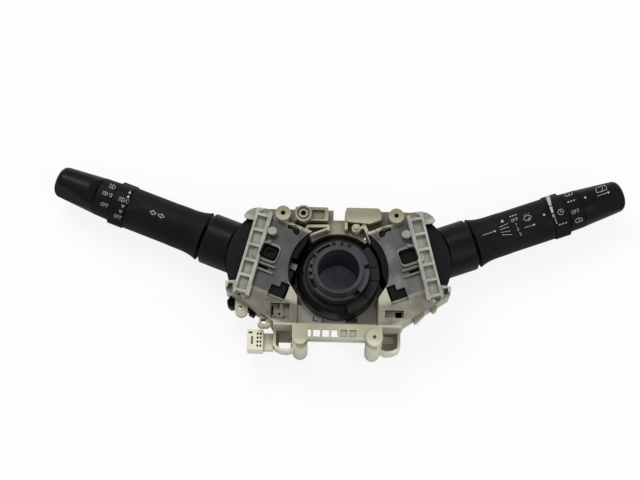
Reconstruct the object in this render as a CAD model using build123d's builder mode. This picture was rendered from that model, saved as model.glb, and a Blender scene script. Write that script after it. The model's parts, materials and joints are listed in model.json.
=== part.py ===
from build123d import *
from math import asin, cos, degrees, radians, sin, sqrt
import os

# Combination stalk switch of a steering column.
# Origin: on the column axis, in the back plane. +Z runs along the column towards the driver,
# +X towards the wiper (right) stalk, +Y towards the top of the column.
# Lengths are in millimetres, angles in degrees.

# ---------------------------------------------------------------- driving dimensions
# stalk axes
rise = 20.3                 # slope of both stalks above the X axis
stalk_drop = 6.5            # the stalk axes cross the Y axis this far below the column axis
pivot_reach = 38.0          # crossing point to the turning pivot, along the stalk
face_radius = 39.5          # curved outer face of the switch case, about the pivot

# switch cases
case_half_width = 24.0
case_thickness = 31.0
case_wall = 1.6
case_inner_reach = 30.0     # crossing point to the flat inner end of the case
cover_thickness = 2.0
board_thickness = 1.6
board_half_length = 16.0
track_thickness = 0.2
slider_reach = 58.0         # crossing point to the sliding contact
slider_half_length = 5.0
slider_width = 11.0
slider_thickness = 2.8
guide_thickness = 2.0
screw_radius = 1.1
screw_head_radius = 2.2
screw_head_height = 1.2
screw_length = 8.0          # thread in the posts of the case
screw_post_radius = 2.6
screw_reaches = (43.0, 62.0)
socket_wall = 1.4
socket_length = 14.0        # wiring socket under the case
socket_depth = 13.0
socket_drop = 8.5
socket_reach = 38.0
pin_length = 5.0

# turning bracket
pivot_post_radius = 2.5
hub_radius = 4.8
neck_half_width = 7.0
neck_half_height = 6.5
drive_pin_radius = 1.5
pawl_thickness = 3.0
turn_travel = 10.0          # left stalk, each way
wiper_travel_up = 4.5
wiper_travel_down = 13.5
plunger_radius = 2.5
plunger_length = 8.0
plunger_tip_radius = 2.8
plunger_bore_depth = 8.0
detent_height = 3.0         # height of the detent track on the cover
detent_depth = 1.0
detent_half_width = 4.5
tilt_pin_radius = 2.2
tongue_half_width = 4.3
tongue_radius = 5.0

# lever parts, lengths along the stalk
collar_radius = 17.6
collar_wall = 3.0
collar_web = 2.2
collar_length = 17.3
tilt_gap = 2.6              # dark groove between collar and lever
flange_half_width = 17.3
flange_half_height = 13.2
lever_length = 54.3
flare_length = 24.0
lever_radius = 14.5
lever_bevel = 7.0           # flat on the driver's side, where the lever meets the ring
bevel_drop = 1.7
ring_length = 11.5
ring_radius = 14.05
ring_lobe = 1.4             # finger lobes stand this far out of the ring
lobe_radius = 6.0
index_length = 11.0
index_radius = 13.5
knob_length = 31.2
knob_radius = 13.0
knob_tip_radius = 10.9
tip_round = 4.5
thumb_lean = 9.0            # degrees by which the thumb flat dips towards the tip
sleeve_radius = 10.0        # tube that carries the fixed index ring
sleeve_depth = 24.0         # how far that tube is seated in the lever
shaft_radius = 4.0
shaft_tail = 10.0           # length of shaft that runs in the lever beyond the tube
shaft_depth = 14.0          # how far the knob shaft goes into the knob

# clearances
seat_gap = 0.3              # between a case and its pocket
face_gap = 0.6              # between the case face and the collar
joint_gap = 0.3             # between neighbouring turning parts
running_fit = 0.05          # radial, on shafts that turn
seat_fit = 0.02             # radial, on pins and tubes that are pressed in
case_sensor_gap = 1.8       # between the cases and the sensor
pawl_sensor_gap = 0.8
swing_margin = 1.0          # degrees left free beside the collar at the ends of its swing

# column body
panel_front = 38.0          # front of the thin panels over the switch cases
panel_thickness = 1.8
body_wall = 1.8
cutout_radius = 33.5        # round opening of the panels about the column axis
rib_height = 3.0            # ladder ribs above the panel
brow_thickness = 1.6
brow_gap = 0.4
ladder_width = 10.0
ladder_lean = 13.7          # lean of the ladder from the Y axis
ladder_rungs = 6
ladder_pitch = 10.8
outer_rail = 1.6
inner_rail = 2.6
rung = 1.8
window_length = 12.0
window_width = 10.2
window_reach = 49.9
floor_level = 12.0          # front of the recess floor behind the sensor
floor_thickness = 2.0
pillar_inner = 27.0         # inner faces of the side pillars, from the centre line
column_bore_radius = 20.0
spigot_radius = 23.0        # rear spigot that centres the body on the column bracket
collar_outer_radius = 24.2  # shoulder above the spigot
boss_front = 42.5
boss_radius = 5.1
front_hole_radius = 1.6
front_hole_depth = 5.0
front_hole_spacing = 76.0
front_hole_y = 38.8
post_radius = 5.1
post_spacing = 49.0
post_y = -44.2
foot_offset = 3.0           # the rear half of a leg reaches this much lower
foot_front = 33.0
post_front = 39.0
post_hole_radius = 2.0
post_hole_depth = 14.0
post_head_radius = 5.5
post_dimple_radius = 1.3
bridge_top = -36.0
bridge_height = 9.7
bridge_thickness = 1.8
bridge_skirt = 10.0         # depth of the wall under the bridge
bridge_window = 4.4
bridge_window_height = 4.9
bridge_pitch = 5.95
bridge_border = 3.4
first_window_x = -19.4
bracket_back = 14.0
bracket_thickness = 2.4
bracket_wall_height = 12.4
bracket_foot = -52.4
bracket_window_x = 34.5
bracket_window_width = 8.2
bracket_window_top = -37.2
bracket_window_foot = -48.8
bracket_bar_top = -38.6
bracket_bar_foot = -43.8
right_tray = (37.4, -28.0)  # centres of the sunk trays in the lower panels
left_tray = (-38.0, -27.6)
tray_depth = 4.0
tray_wall = 1.2
web_front = 28.0            # recessed web above the switch cases
web_thickness = 2.5
web_top = 46.0
web_notch = 39.0
skirt_back = 8.0
plate_front = 37.0
arch_radius = 29.2          # wall round the top of the sensor
arch_angle = 38.0           # each way from the top

# steering sensor in the middle
sensor_radius = 27.5
sensor_front = 30.0
sector_height = 3.0
rotor_bore_radius = 14.0
rotor_radius = 17.5
rotor_front = 43.0
rotor_back = 4.0
rotor_flange_radius = 20.4
rotor_flange_thickness = 2.2
clip_radius = 19.0
clip_thickness = 1.6
sensor_board_thickness = 1.6

# wiring connector at the lower left
connector_width = 10.6
connector_height = 13.6
connector_depth = 13.0
connector_back = 14.0
connector_gap = 6.6         # from the clip bracket, bridged by the arm
connector_top = -38.2
cavity_pitch = 2.0
cavity_row_pitch = 2.7
cavity_depth = 9.0

# ---------------------------------------------------------------- derived places
panel_back = panel_front - panel_thickness
case_front = panel_back - 0.2
case_back = case_front - case_thickness
stalk_z = (case_front + case_back) / 2
face_reach = pivot_reach + face_radius
collar_front = stalk_z + collar_radius
collar_start = face_reach + face_gap
collar_end = collar_start + collar_length
lever_start = collar_end + tilt_gap
lever_end = lever_start + lever_length
ring_start = lever_end + joint_gap
ring_end = ring_start + ring_length
index_start = ring_end + joint_gap
index_end = index_start + index_length
knob_start = index_end + joint_gap
knob_end = knob_start + knob_length
rib_front = panel_front + rib_height
pocket_half_width = case_half_width + seat_gap
pocket_back = case_back - 0.2
wing_half_width = pocket_half_width + body_wall
lip_thickness = 1.6
wing_back = pocket_back - lip_thickness
tilt_reach = collar_start + collar_web + tongue_radius + 0.5
cover_front = case_back + cover_thickness
board_front = case_front - case_wall
board_back = board_front - board_thickness
track_back = board_back - track_thickness
slider_front = track_back - 0.2
slider_back = slider_front - slider_thickness
neck_back = stalk_z - neck_half_height
neck_front = stalk_z + neck_half_height
drive_radius = slider_reach - pivot_reach
plunger_tip = cover_front + detent_height + 0.15
sleeve_start = lever_end - sleeve_depth
shaft_start = sleeve_start - shaft_tail

stalk_x = Vector(cos(radians(rise)), sin(radians(rise)), 0)
stalk_y = Vector(-sin(radians(rise)), cos(radians(rise)), 0)
crossing = Vector(0, -stalk_drop, 0)


def on_stalk(reach, side, height=0.0):
    """Point of the right half, from its place along and beside the stalk axis."""
    return crossing + stalk_x * reach + stalk_y * side + Vector(0, 0, height)


def level(height, reach=0.0, side=0.0):
    """Plane parallel to the back, with x along the right stalk."""
    return Plane(origin=on_stalk(reach, side, height), x_dir=stalk_x, z_dir=(0, 0, 1))


def across(reach):
    """Plane square to the right stalk axis: x beside it, y towards the driver."""
    return Plane(origin=on_stalk(reach, 0, stalk_z), x_dir=stalk_y, z_dir=stalk_x)


def mirrored(piece):
    """The left-hand twin of a right-hand piece."""
    with BuildPart() as twin:
        mirror(piece.part, about=Plane.YZ)
    return twin


def save(piece, name):
    piece.part.label = name
    export_step(piece.part, f"parts/{name}.step")


def flat(point):
    return (point.X, point.Y)


def polar(radius, angle):
    return (radius * cos(radians(angle)), radius * sin(radians(angle)))


def ring_sector(inner, outer, start, turn):
    """Flat face between two radii, from one angle through a turn."""
    with BuildSketch() as sector:
        with BuildLine():
            outer_arc = CenterArc((0, 0), outer, start, turn)
            inner_arc = CenterArc((0, 0), inner, start, turn)
            Line(outer_arc @ 0, inner_arc @ 0)
            Line(outer_arc @ 1, inner_arc @ 1)
        make_face()
    return sector.sketch


os.makedirs("parts", exist_ok=True)

# ---------------------------------------------------------------- column body, one wing
# The wing is a thin panel over the switch case, with full-depth walls round it.
ladder_x = Vector(cos(radians(ladder_lean)), sin(radians(ladder_lean)), 0)
ladder_y = Vector(-sin(radians(ladder_lean)), cos(radians(ladder_lean)), 0)
ladder_setback = 15.6       # foot of the ladder, from the curved face along the stalk
foot_drop = 8.7             # foot of the ladder, below the pocket
ladder_foot = on_stalk(face_reach - ladder_setback, -pocket_half_width - foot_drop)
ladder_run = (wing_half_width - (ladder_foot - crossing).dot(stalk_y)) / ladder_y.dot(stalk_y)
ladder_head = ladder_foot + ladder_y * ladder_run
end_block_outer = on_stalk(face_reach - 7.7, -pocket_half_width - 3.3)
end_block_foot = on_stalk(face_reach - 10.4, -pocket_half_width - 8.4)
heel = Vector(42.2, -34.7, 0)               # lower corner of the wing, at the leg bracket
pillar_shoulder = -17.0
arc_low = -14.5                             # ends of the round cutout, in degrees
arc_high = 57.0
wing_foot = bridge_top - 1.0
low_wall_back = 19.0        # the wall under the wing starts here

# what the collar sweeps past the mouth of the pocket, as angles about the pivot
collar_half_angle = degrees(asin(collar_radius / (face_radius + face_gap)))
swing_down = collar_half_angle + wiper_travel_down + swing_margin
swing_up = collar_half_angle + turn_travel + swing_margin


def ladder_plane(height):
    """Plane with its y axis up the ladder's outer edge, origin at the foot."""
    return Plane(origin=ladder_foot + Vector(0, 0, height), x_dir=ladder_x, z_dir=(0, 0, 1))


def collar_sweep():
    """Flat region about the pivot that the collar passes over."""
    return ring_sector(face_radius, face_radius + 2 * collar_length, -swing_down, swing_down + swing_up)


with BuildPart() as wing:
    with BuildSketch(Plane.XY.offset(wing_back)) as wing_outline:
        with BuildLine():
            Polyline(
                polar(cutout_radius, arc_high), flat(ladder_head), flat(ladder_foot + ladder_y * 9),
                flat(end_block_outer), flat(end_block_foot), flat(heel),
                (heel.X, wing_foot), (pillar_inner, wing_foot), (pillar_inner, pillar_shoulder),
                polar(cutout_radius, arc_low),
            )
            ThreePointArc(
                polar(cutout_radius, arc_low), polar(cutout_radius, (arc_low + arc_high) / 2),
                polar(cutout_radius, arc_high),
            )
        make_face()
    extrude(amount=panel_front - wing_back)
    with BuildSketch(Plane.XY.offset(wing_back)):
        offset(wing_outline.sketch, amount=-body_wall, kind=Kind.INTERSECTION)
    extrude(amount=panel_back - wing_back, mode=Mode.SUBTRACT)
    # wall between the case pocket and the lower compartment
    with BuildSketch(level(wing_back, case_inner_reach - 4, -pocket_half_width)):
        Rectangle(36, body_wall, align=(Align.MIN, Align.MAX))
    extrude(amount=panel_front - wing_back)
    # ribs of the lower compartment
    for station in range(3):
        with BuildSketch(level(panel_back - 14, face_reach - 31.5 + 7 * station, -pocket_half_width)):
            Rectangle(body_wall, 9.5, align=(Align.CENTER, Align.MAX))
        extrude(amount=14)
    # the pocket, open to the outside
    with BuildSketch(level(wing_back, case_inner_reach - 1)):
        Rectangle(70, 2 * pocket_half_width, align=(Align.MIN, Align.CENTER))
    extrude(amount=panel_back - wing_back, mode=Mode.SUBTRACT)
    # the wiring socket of the case passes through the lower pocket wall
    with BuildSketch(level(wing_back, socket_reach, -pocket_half_width)):
        Rectangle(socket_length + 2 * seat_gap, 2 * body_wall + 2, align=(Align.CENTER, Align.CENTER))
    extrude(amount=case_back + socket_depth + seat_gap - wing_back, mode=Mode.SUBTRACT)
    # lips that hold the case from behind
    for edge in (-1, 1):
        with BuildSketch(level(wing_back, face_reach - 25, edge * (pocket_half_width - 1.3))):
            Rectangle(12, 3.0)
        extrude(amount=lip_thickness)
    # the outer wall below the pocket is shallow beyond the leg bracket
    with BuildSketch(Plane.XY.offset(wing_back)):
        with BuildLine():
            Polyline(
                (heel.X, heel.Y - 1), flat(on_stalk(48, -pocket_half_width - body_wall)),
                flat(on_stalk(face_reach + 6, -pocket_half_width - body_wall)),
                (face_reach + 6, heel.Y - 1),
                close=True,
            )
        make_face()
    extrude(amount=low_wall_back - wing_back, mode=Mode.SUBTRACT)
    # nothing stands in the path of the lever collar
    with BuildSketch(level(wing_back, pivot_reach)):
        add(collar_sweep())
    extrude(amount=panel_back - wing_back, mode=Mode.SUBTRACT)
    # open cells at the foot of the ladder and beside it
    with BuildSketch(ladder_plane(panel_back)):
        with Locations((-outer_rail - 2.9, -0.9)):
            Rectangle(4.6, 3.4)
        with Locations((3.0, 3.8)):
            Rectangle(3.2, 4.6)
    extrude(amount=panel_thickness, mode=Mode.SUBTRACT)
    # ladder: two rails and their rungs, proud of the panel
    with BuildSketch(ladder_plane(panel_back)):
        with Locations((0, 0)):
            Rectangle(outer_rail, ladder_run, align=(Align.MAX, Align.MIN))
        with Locations((outer_rail - ladder_width, 0)):
            Rectangle(inner_rail, ladder_run, align=(Align.MAX, Align.MIN))
        for index in range(ladder_rungs):
            with Locations((0, 2.2 + index * ladder_pitch)):
                Rectangle(ladder_width, rung, align=(Align.MAX, Align.CENTER))
    extrude(amount=rib_front - panel_back)
    # round boss beside the ladder, with the web that ties it to the rail
    with BuildSketch(Plane.XY.offset(panel_back)):
        with Locations((44.7, 26.0)):
            Circle(2.9)
    extrude(amount=rib_front + 1.2 - panel_back)
    with BuildSketch(ladder_plane(panel_back)):
        with Locations((-ladder_width - 2, 38.5)):
            Rectangle(7, 2.0, rotation=-24)
    extrude(amount=rib_front - 0.8 - panel_back)
    # frame round the upper window, tied to the ladder
    with BuildSketch(level(panel_back, window_reach, 1.3)):
        with Locations((1.6, 0)):
            RectangleRounded(window_length + 4.4, window_width + 3.4, 3.0)
    extrude(amount=panel_thickness + 1.2)
    with BuildSketch(level(panel_back, window_reach, 1.3)):
        RectangleRounded(window_length, window_width, 2.4)
    extrude(amount=rib_height + panel_thickness, mode=Mode.SUBTRACT)
    # pair of ribs below it, with a slot between them
    for side in (-7.4, -11.6):
        with BuildSketch(level(panel_back, ladder_foot.dot(stalk_x) - 6.0, side)):
            Rectangle(11.5, 1.4, align=(Align.MAX, Align.CENTER))
        extrude(amount=panel_thickness + 1.6)
    with BuildSketch(level(panel_back, window_reach + 1.1, -9.5)):
        SlotOverall(9.0, 2.0)
    extrude(amount=panel_thickness, mode=Mode.SUBTRACT)
    # stepped window at the lower inner corner
    with BuildSketch(level(panel_back, 28.4, -26.8)):
        Rectangle(6.4, 12.8, align=(Align.MIN, Align.MIN))
        with Locations((6.3, 0)):
            Rectangle(5.6, 8.8, align=(Align.MIN, Align.MIN))
    extrude(amount=panel_thickness, mode=Mode.SUBTRACT)
    # stepped notch near the inner corner, and a shallow recess between it and the sensor
    with BuildSketch(Plane.XY.offset(panel_back)):
        with BuildLine():
            Polyline((26.6, 25.6), (28.4, 24.2), (30.6, 25.8), (31.4, 28.4), (35.0, 29.6), (34.4, 32.0),
                     (29.0, 31.6), (26.6, 28.4), close=True)
        make_face()
    extrude(amount=panel_thickness, mode=Mode.SUBTRACT)
    with BuildSketch(Plane.XY.offset(panel_front)):
        with BuildLine():
            Polyline((14, 34), (18, 24), (24, 20), (27.0, 23.0), (25.4, 25.4), (25.4, 28.6), (22, 34),
                     close=True)
        make_face()
    extrude(amount=-0.9, mode=Mode.SUBTRACT)

# ---------------------------------------------------------------- column body, middle
web_corner = 54.5           # the top edge runs out to here, then rounds down
web_shoulder = Vector(62.0, 42.6, 0)
# corners of the brow, from the head of the ladder
brow_corners = ((-6.4, 0.4), (-0.8, 1.2), (3.6, 0.2), (7.0, -2.0), (8.8, -4.8), (7.4, -6.8))
with BuildPart() as web_half:
    with BuildSketch(Plane.XY.offset(web_front - web_thickness)):
        with BuildLine():
            Polyline(
                (0, arch_radius + 0.5), (0, web_notch), (4, web_notch), (4, web_top),
                (web_corner, web_top), flat(web_shoulder), (web_shoulder.X + 1.6, web_shoulder.Y - 2.4),
                flat(ladder_head),
                polar(cutout_radius, arc_high), polar(arch_radius + 0.5, arc_high + 3), close=True,
            )
        make_face()
        with Locations((0, 0)):
            Circle(arch_radius + 0.5, mode=Mode.SUBTRACT)
    extrude(amount=web_thickness)
    # skirt behind the top edge of the web
    with BuildSketch(Plane.XY.offset(skirt_back)):
        with BuildLine():
            Polyline(
                (4, web_top), (web_corner, web_top), flat(web_shoulder),
                (web_shoulder.X - 1.2, web_shoulder.Y - body_wall), (web_corner - 0.8, web_top - body_wall),
                (4, web_top - body_wall), close=True,
            )
        make_face()
    extrude(amount=web_front - skirt_back)
    with BuildSketch(level(wing_back, pivot_reach)):
        add(collar_sweep())
    extrude(amount=panel_back - wing_back, mode=Mode.SUBTRACT)
    # ribs from the skirt to the arch and to the wing
    for rib_x in (6, 20, 34, 48):
        with BuildSketch(Plane.XY.offset(skirt_back + 2)):
            with Locations((rib_x, web_top - body_wall / 2)):
                rib_end = max((wing_half_width + rib_x * sin(radians(rise))) / cos(radians(rise))
                              - stalk_drop - 0.4, arch_radius * 0.97)
                Rectangle(body_wall, web_top - body_wall / 2 - rib_end, align=(Align.CENTER, Align.MAX))
        extrude(amount=web_front - skirt_back - 3)
    # brow in front of the collar's path, tied to the ladder
    with BuildSketch(Plane.XY.offset(collar_front + brow_gap)):
        with BuildLine():
            Polyline(
                flat(ladder_head - ladder_x * 3),
                *[(ladder_head.X + x, ladder_head.Y + y) for x, y in brow_corners],
                flat(ladder_head - ladder_y * 8), close=True,
            )
        make_face()
    extrude(amount=brow_thickness)
    # front boss
    with BuildSketch(Plane.XY.offset(web_front - 6)):
        with Locations((front_hole_spacing / 2, front_hole_y)):
            Circle(boss_radius)
    extrude(amount=boss_front - web_front + 6)

with BuildPart() as column_body:
    add(wing.part)
    add(web_half.part)
    mirror(wing.part, about=Plane.YZ)
    mirror(web_half.part, about=Plane.YZ)
    # recess floor between the pillars, carried round behind the sensor
    with BuildSketch(Plane.XY.offset(floor_level - floor_thickness)):
        Circle(arch_radius - 0.2)
        with Locations((0, pillar_shoulder)):
            Rectangle(2 * pillar_inner + 0.4, -wing_foot + pillar_shoulder, align=(Align.CENTER, Align.MAX))
    extrude(amount=floor_thickness)
    # arch round the top of the sensor
    with BuildSketch(Plane.XY.offset(floor_level - floor_thickness - 2)):
        with BuildLine():
            CenterArc((0, 0), arch_radius + 2.0, 90 - arch_angle, 2 * arch_angle)
            Line(polar(arch_radius + 2.0, 90 + arch_angle), polar(arch_radius, 90 + arch_angle))
            CenterArc((0, 0), arch_radius, 90 - arch_angle, 2 * arch_angle)
            Line(polar(arch_radius, 90 - arch_angle), polar(arch_radius + 2.0, 90 - arch_angle))
        make_face()
    extrude(amount=web_front - floor_level + floor_thickness + 2)
    # rear collar round the column, stepped down to the spigot
    with BuildSketch():
        Circle(spigot_radius)
    extrude(amount=wing_back)
    with BuildSketch(Plane.XY.offset(wing_back)):
        Circle(collar_outer_radius)
    extrude(amount=floor_level - floor_thickness - wing_back)
    for angle in (35, 145, 90, 215, 325):
        with BuildSketch(Plane.XY.offset(wing_back)):
            with Locations(Location((0, 0), angle)):
                with Locations((collar_outer_radius - 0.5, 0)):
                    Rectangle(arch_radius - collar_outer_radius, body_wall, align=(Align.MIN, Align.CENTER))
        extrude(amount=floor_level - floor_thickness - wing_back)
    with BuildSketch():
        Circle(column_bore_radius)
    extrude(amount=floor_level, mode=Mode.SUBTRACT)
    # window in the recess floor over the sensor board, and two keying slots
    with BuildSketch(Plane.XY.offset(floor_level - floor_thickness)):
        with Locations((9.8, -25.4)):
            Rectangle(8, 5.6)
        for slot_x in (-15.9, -9.5):
            with Locations((slot_x, -25.0)):
                Rectangle(0.8, 6)
            with Locations((slot_x + 1.2, -27.6)):
                Rectangle(3.2, 0.8)
    extrude(amount=floor_thickness, mode=Mode.SUBTRACT)
    # upper left plate with its shallow recess, upper right plate
    plate_outlines = (
        ((-30.0, 45.2), (-7.6, 45.2), (-7.6, 35.8), (-30.0, 35.8)),
        ((4.2, 45.4), (26.2, 45.4), (28.2, 43.2), (28.2, 37.4), (20.1, 34.4), (7.1, 35.3), (4.2, 36.2)),
    )
    for corners in plate_outlines:
        with BuildSketch(Plane.XY.offset(web_front - 1)):
            with BuildLine():
                Polyline(*corners, close=True)
            make_face()
            fillet(vertices(Select.LAST).group_by(Axis.Y)[-1], radius=1.6)
        extrude(amount=plate_front - web_front + 1)
    with BuildSketch(Plane.XY.offset(plate_front)):
        with Locations((-14.4, 40.0)):
            RectangleRounded(8.8, 6.6, 1.0)
    extrude(amount=-2.5, mode=Mode.SUBTRACT)
    # locating boss of the left plate: two rings
    with BuildSketch(Plane.XY.offset(web_front)):
        with Locations((-24.4, 39.8)):
            Circle(5.6)
    extrude(amount=plate_front + 3 - web_front)
    with BuildSketch(Plane.XY.offset(plate_front + 3)):
        with Locations((-24.4, 39.8)):
            Circle(4.4)
            Circle(3.2, mode=Mode.SUBTRACT)
    extrude(amount=-1.6, mode=Mode.SUBTRACT)
    with BuildSketch(Plane.XY.offset(plate_front + 3)):
        with Locations((-24.4, 39.8)):
            Circle(1.8)
    extrude(amount=-6, mode=Mode.SUBTRACT)
    # trapezoid cell on the left, slanted rib and pin boss on the right
    with BuildSketch(Plane.XY.offset(web_front - 1)):
        with BuildLine():
            left_leg = Line((-25.0, 21.0), (-21.4, 32.2))
            left_top = Line(left_leg @ 1, (-7.7, 32.6))
            Line(left_top @ 1, (-7.2, 29.6))
        trace(line_width=1.8)
        with BuildLine():
            Line((-21.5, 25.2), (-8.4, 30.6))
        trace(line_width=1.2)
        with BuildLine():
            Line((15.5, 36.4), (22.0, 21.5))
        trace(line_width=2.2)
        with BuildLine():
            Line((4.6, 36.4), (4.6, 30.4))
        trace(line_width=1.8)
        with BuildLine():
            Line((8.6, 30.2), (16.5, 32.6))
        trace(line_width=1.8)
    extrude(amount=plate_front - 1.5 - web_front + 1)
    with BuildSketch(Plane.XY.offset(web_front)):
        with Locations((11.3, 31.4)):
            Circle(3.0)
    extrude(amount=plate_front - 1 - web_front)
    with BuildSketch(Plane.XY.offset(plate_front - 1)):
        with Locations((11.3, 31.4)):
            Circle(1.5)
    extrude(amount=3)
    # those ribs stay out of the case pockets and off the sensor
    for side in (1, -1):
        with BuildSketch(Plane(
            origin=(0, -stalk_drop, web_front - 8), x_dir=(side * stalk_x.X, stalk_x.Y, 0), z_dir=(0, 0, 1),
        )):
            with Locations((case_inner_reach - 0.4, 0)):
                Rectangle(40, 2 * pocket_half_width, align=(Align.MIN, Align.CENTER))
        extrude(amount=panel_back - web_front + 8, mode=Mode.SUBTRACT)
    with BuildSketch(Plane.XY.offset(floor_level)):
        Circle(arch_radius)
    extrude(amount=boss_front - floor_level, mode=Mode.SUBTRACT)
    # bridge between the legs: a thin plate with a wall under it
    with BuildSketch(Plane.XY.offset(panel_front - bridge_thickness)):
        with Locations((0, bridge_top)):
            Rectangle(post_spacing + 4, bridge_height, align=(Align.CENTER, Align.MAX))
    extrude(amount=bridge_thickness)
    with BuildSketch(Plane.XY.offset(panel_front - bridge_skirt)):
        with Locations((0, bridge_top - bridge_height)):
            Rectangle(post_spacing + 4, 1.2, align=(Align.CENTER, Align.MIN))
        with Locations(((post_spacing + bridge_pitch) / 4, bridge_top)):
            Rectangle(post_spacing / 2 - bridge_pitch, bridge_height, align=(Align.CENTER, Align.MAX))
    extrude(amount=bridge_skirt)
    for index in range(6):
        through = index < 4
        with BuildSketch(Plane.XY.offset(panel_front)):
            with Locations((first_window_x + index * bridge_pitch, bridge_top - bridge_border)):
                Rectangle(bridge_window, bridge_window_height, align=(Align.CENTER, Align.MAX))
        extrude(amount=-bridge_skirt if through else -1.0, mode=Mode.SUBTRACT)
    # wall that closes the recess below, open behind the windows
    with BuildSketch(Plane.XY.offset(floor_level - floor_thickness)):
        with Locations((0, wing_foot)):
            Rectangle(post_spacing + 4, body_wall, align=(Align.CENTER, Align.MIN))
    extrude(amount=panel_front - 1 - floor_level + floor_thickness)
    windows_start = first_window_x - bridge_window / 2
    windows_width = 3 * bridge_pitch + bridge_window
    with BuildSketch(Plane.XY.offset(floor_level - floor_thickness)):
        with Locations((windows_start, wing_foot)):
            Rectangle(windows_width, body_wall, align=(Align.MIN, Align.MIN))
    extrude(amount=panel_front - bridge_thickness - floor_level + floor_thickness, mode=Mode.SUBTRACT)
    with BuildSketch(Plane.XY.offset(floor_level - floor_thickness)):
        with Locations((windows_start, wing_foot + body_wall)):
            Rectangle(windows_width, 5.8, align=(Align.MIN, Align.MIN))
    extrude(amount=floor_thickness, mode=Mode.SUBTRACT)
    # legs: full-height posts, with a screw boss on the front of the right one
    for side in (-1, 1):
        with BuildSketch():
            with Locations((side * post_spacing / 2, post_y)):
                Circle(post_radius)
        extrude(amount=panel_front)
        with BuildSketch():
            with Locations((side * post_spacing / 2, post_y - foot_offset / 2)):
                SlotOverall(2 * post_radius + foot_offset, 2 * post_radius, rotation=90)
        extrude(amount=foot_front)
        with BuildSketch(Plane.XY.offset(floor_level - floor_thickness)):
            with Locations((side * post_spacing / 2, post_y)):
                Rectangle(2 * post_radius, wing_foot - post_y + 1, align=(Align.CENTER, Align.MIN))
        extrude(amount=panel_front - floor_level + floor_thickness)
        # clip bracket outside each leg: a tray with a barred window
        bracket_inner = post_spacing / 2
        with BuildSketch(Plane.XY.offset(bracket_back)) as bracket_outline:
            with BuildLine():
                Polyline(
                    (side * bracket_inner, wing_foot + 1), (side * heel.X, wing_foot + 1),
                    (side * heel.X, bracket_foot + 4.6), (side * (heel.X - 1.2), bracket_foot + 2.4),
                    (side * (heel.X - 5), bracket_foot + 0.6), (side * (bracket_inner + 8), bracket_foot),
                    (side * bracket_inner, bracket_foot + 3.4), close=True,
                )
            make_face()
        extrude(amount=bracket_wall_height)
        with BuildSketch(Plane.XY.offset(bracket_back + bracket_thickness)):
            offset(bracket_outline.sketch, amount=-body_wall, kind=Kind.INTERSECTION)
        extrude(amount=bracket_wall_height, mode=Mode.SUBTRACT)
        with BuildSketch(Plane.XY.offset(bracket_back + (bracket_thickness / 2 if side > 0 else 0))):
            with Locations((side * bracket_window_x, bracket_window_top)):
                Rectangle(
                    bracket_window_width, bracket_window_top - bracket_window_foot,
                    align=(Align.CENTER, Align.MAX),
                )
        extrude(amount=bracket_thickness, mode=Mode.SUBTRACT)
        with BuildSketch(Plane.XY.offset(bracket_back)):
            with Locations((side * bracket_window_x, bracket_bar_top)):
                Rectangle(
                    bracket_window_width, bracket_bar_top - bracket_bar_foot,
                    align=(Align.CENTER, Align.MAX),
                )
        extrude(amount=bracket_thickness + 1.6)
        with BuildSketch():
            with Locations((side * post_spacing / 2, post_y)):
                Circle(post_hole_radius)
        extrude(amount=post_hole_depth, mode=Mode.SUBTRACT)
        with BuildSketch(Plane.XY.offset(boss_front)):
            with Locations((side * front_hole_spacing / 2, front_hole_y)):
                Circle(front_hole_radius)
        extrude(amount=-front_hole_depth, mode=Mode.SUBTRACT)
    with BuildSketch(Plane.XY.offset(post_front - 6)):
        with Locations((post_spacing / 2, post_y)):
            Circle(post_head_radius)
    extrude(amount=7)
    with BuildSketch(Plane.XY.offset(post_front + 1)):
        with Locations((post_spacing / 2, post_y)):
            Circle(post_dimple_radius)
    extrude(amount=-1.5, mode=Mode.SUBTRACT)
    # sunk trays in the lower panels
    for centre, length, width in ((right_tray, 12.4, 5.2), (left_tray, 12.8, 10.6)):
        with BuildSketch(Plane.XY.offset(panel_back - tray_depth)):
            with Locations(centre):
                Rectangle(length + 2 * tray_wall, width + 2 * tray_wall)
        extrude(amount=tray_depth + panel_thickness / 2)
        with BuildSketch(Plane.XY.offset(panel_back - tray_depth + tray_wall)):
            with Locations(centre):
                Rectangle(length, width)
        extrude(amount=tray_depth + panel_thickness, mode=Mode.SUBTRACT)
    # a small square window in the right one; a post, a rib and a slot in the left one
    with BuildSketch(Plane.XY.offset(panel_back - tray_depth)):
        with Locations((right_tray[0] + 3.0, right_tray[1] + 0.2)):
            Rectangle(4.2, 4.4)
        with Locations((left_tray[0] - 5.2, left_tray[1] + 1.2)):
            Rectangle(1.4, 6.4)
    extrude(amount=tray_wall, mode=Mode.SUBTRACT)
    with BuildSketch(Plane.XY.offset(panel_back - tray_depth + tray_wall / 2)):
        with Locations((left_tray[0] - 0.4, left_tray[1] - 2.0)):
            Circle(3.1)
        with Locations((left_tray[0] + 0.9, left_tray[1] + 2.4)):
            Rectangle(1.4, 6.0)
    extrude(amount=tray_depth - tray_wall / 2 + 0.6)
    with BuildSketch(Plane.XY.offset(panel_back + 0.6)):
        with Locations((left_tray[0] - 0.4, left_tray[1] - 2.0)):
            Circle(0.9)
    extrude(amount=-3, mode=Mode.SUBTRACT)
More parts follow.
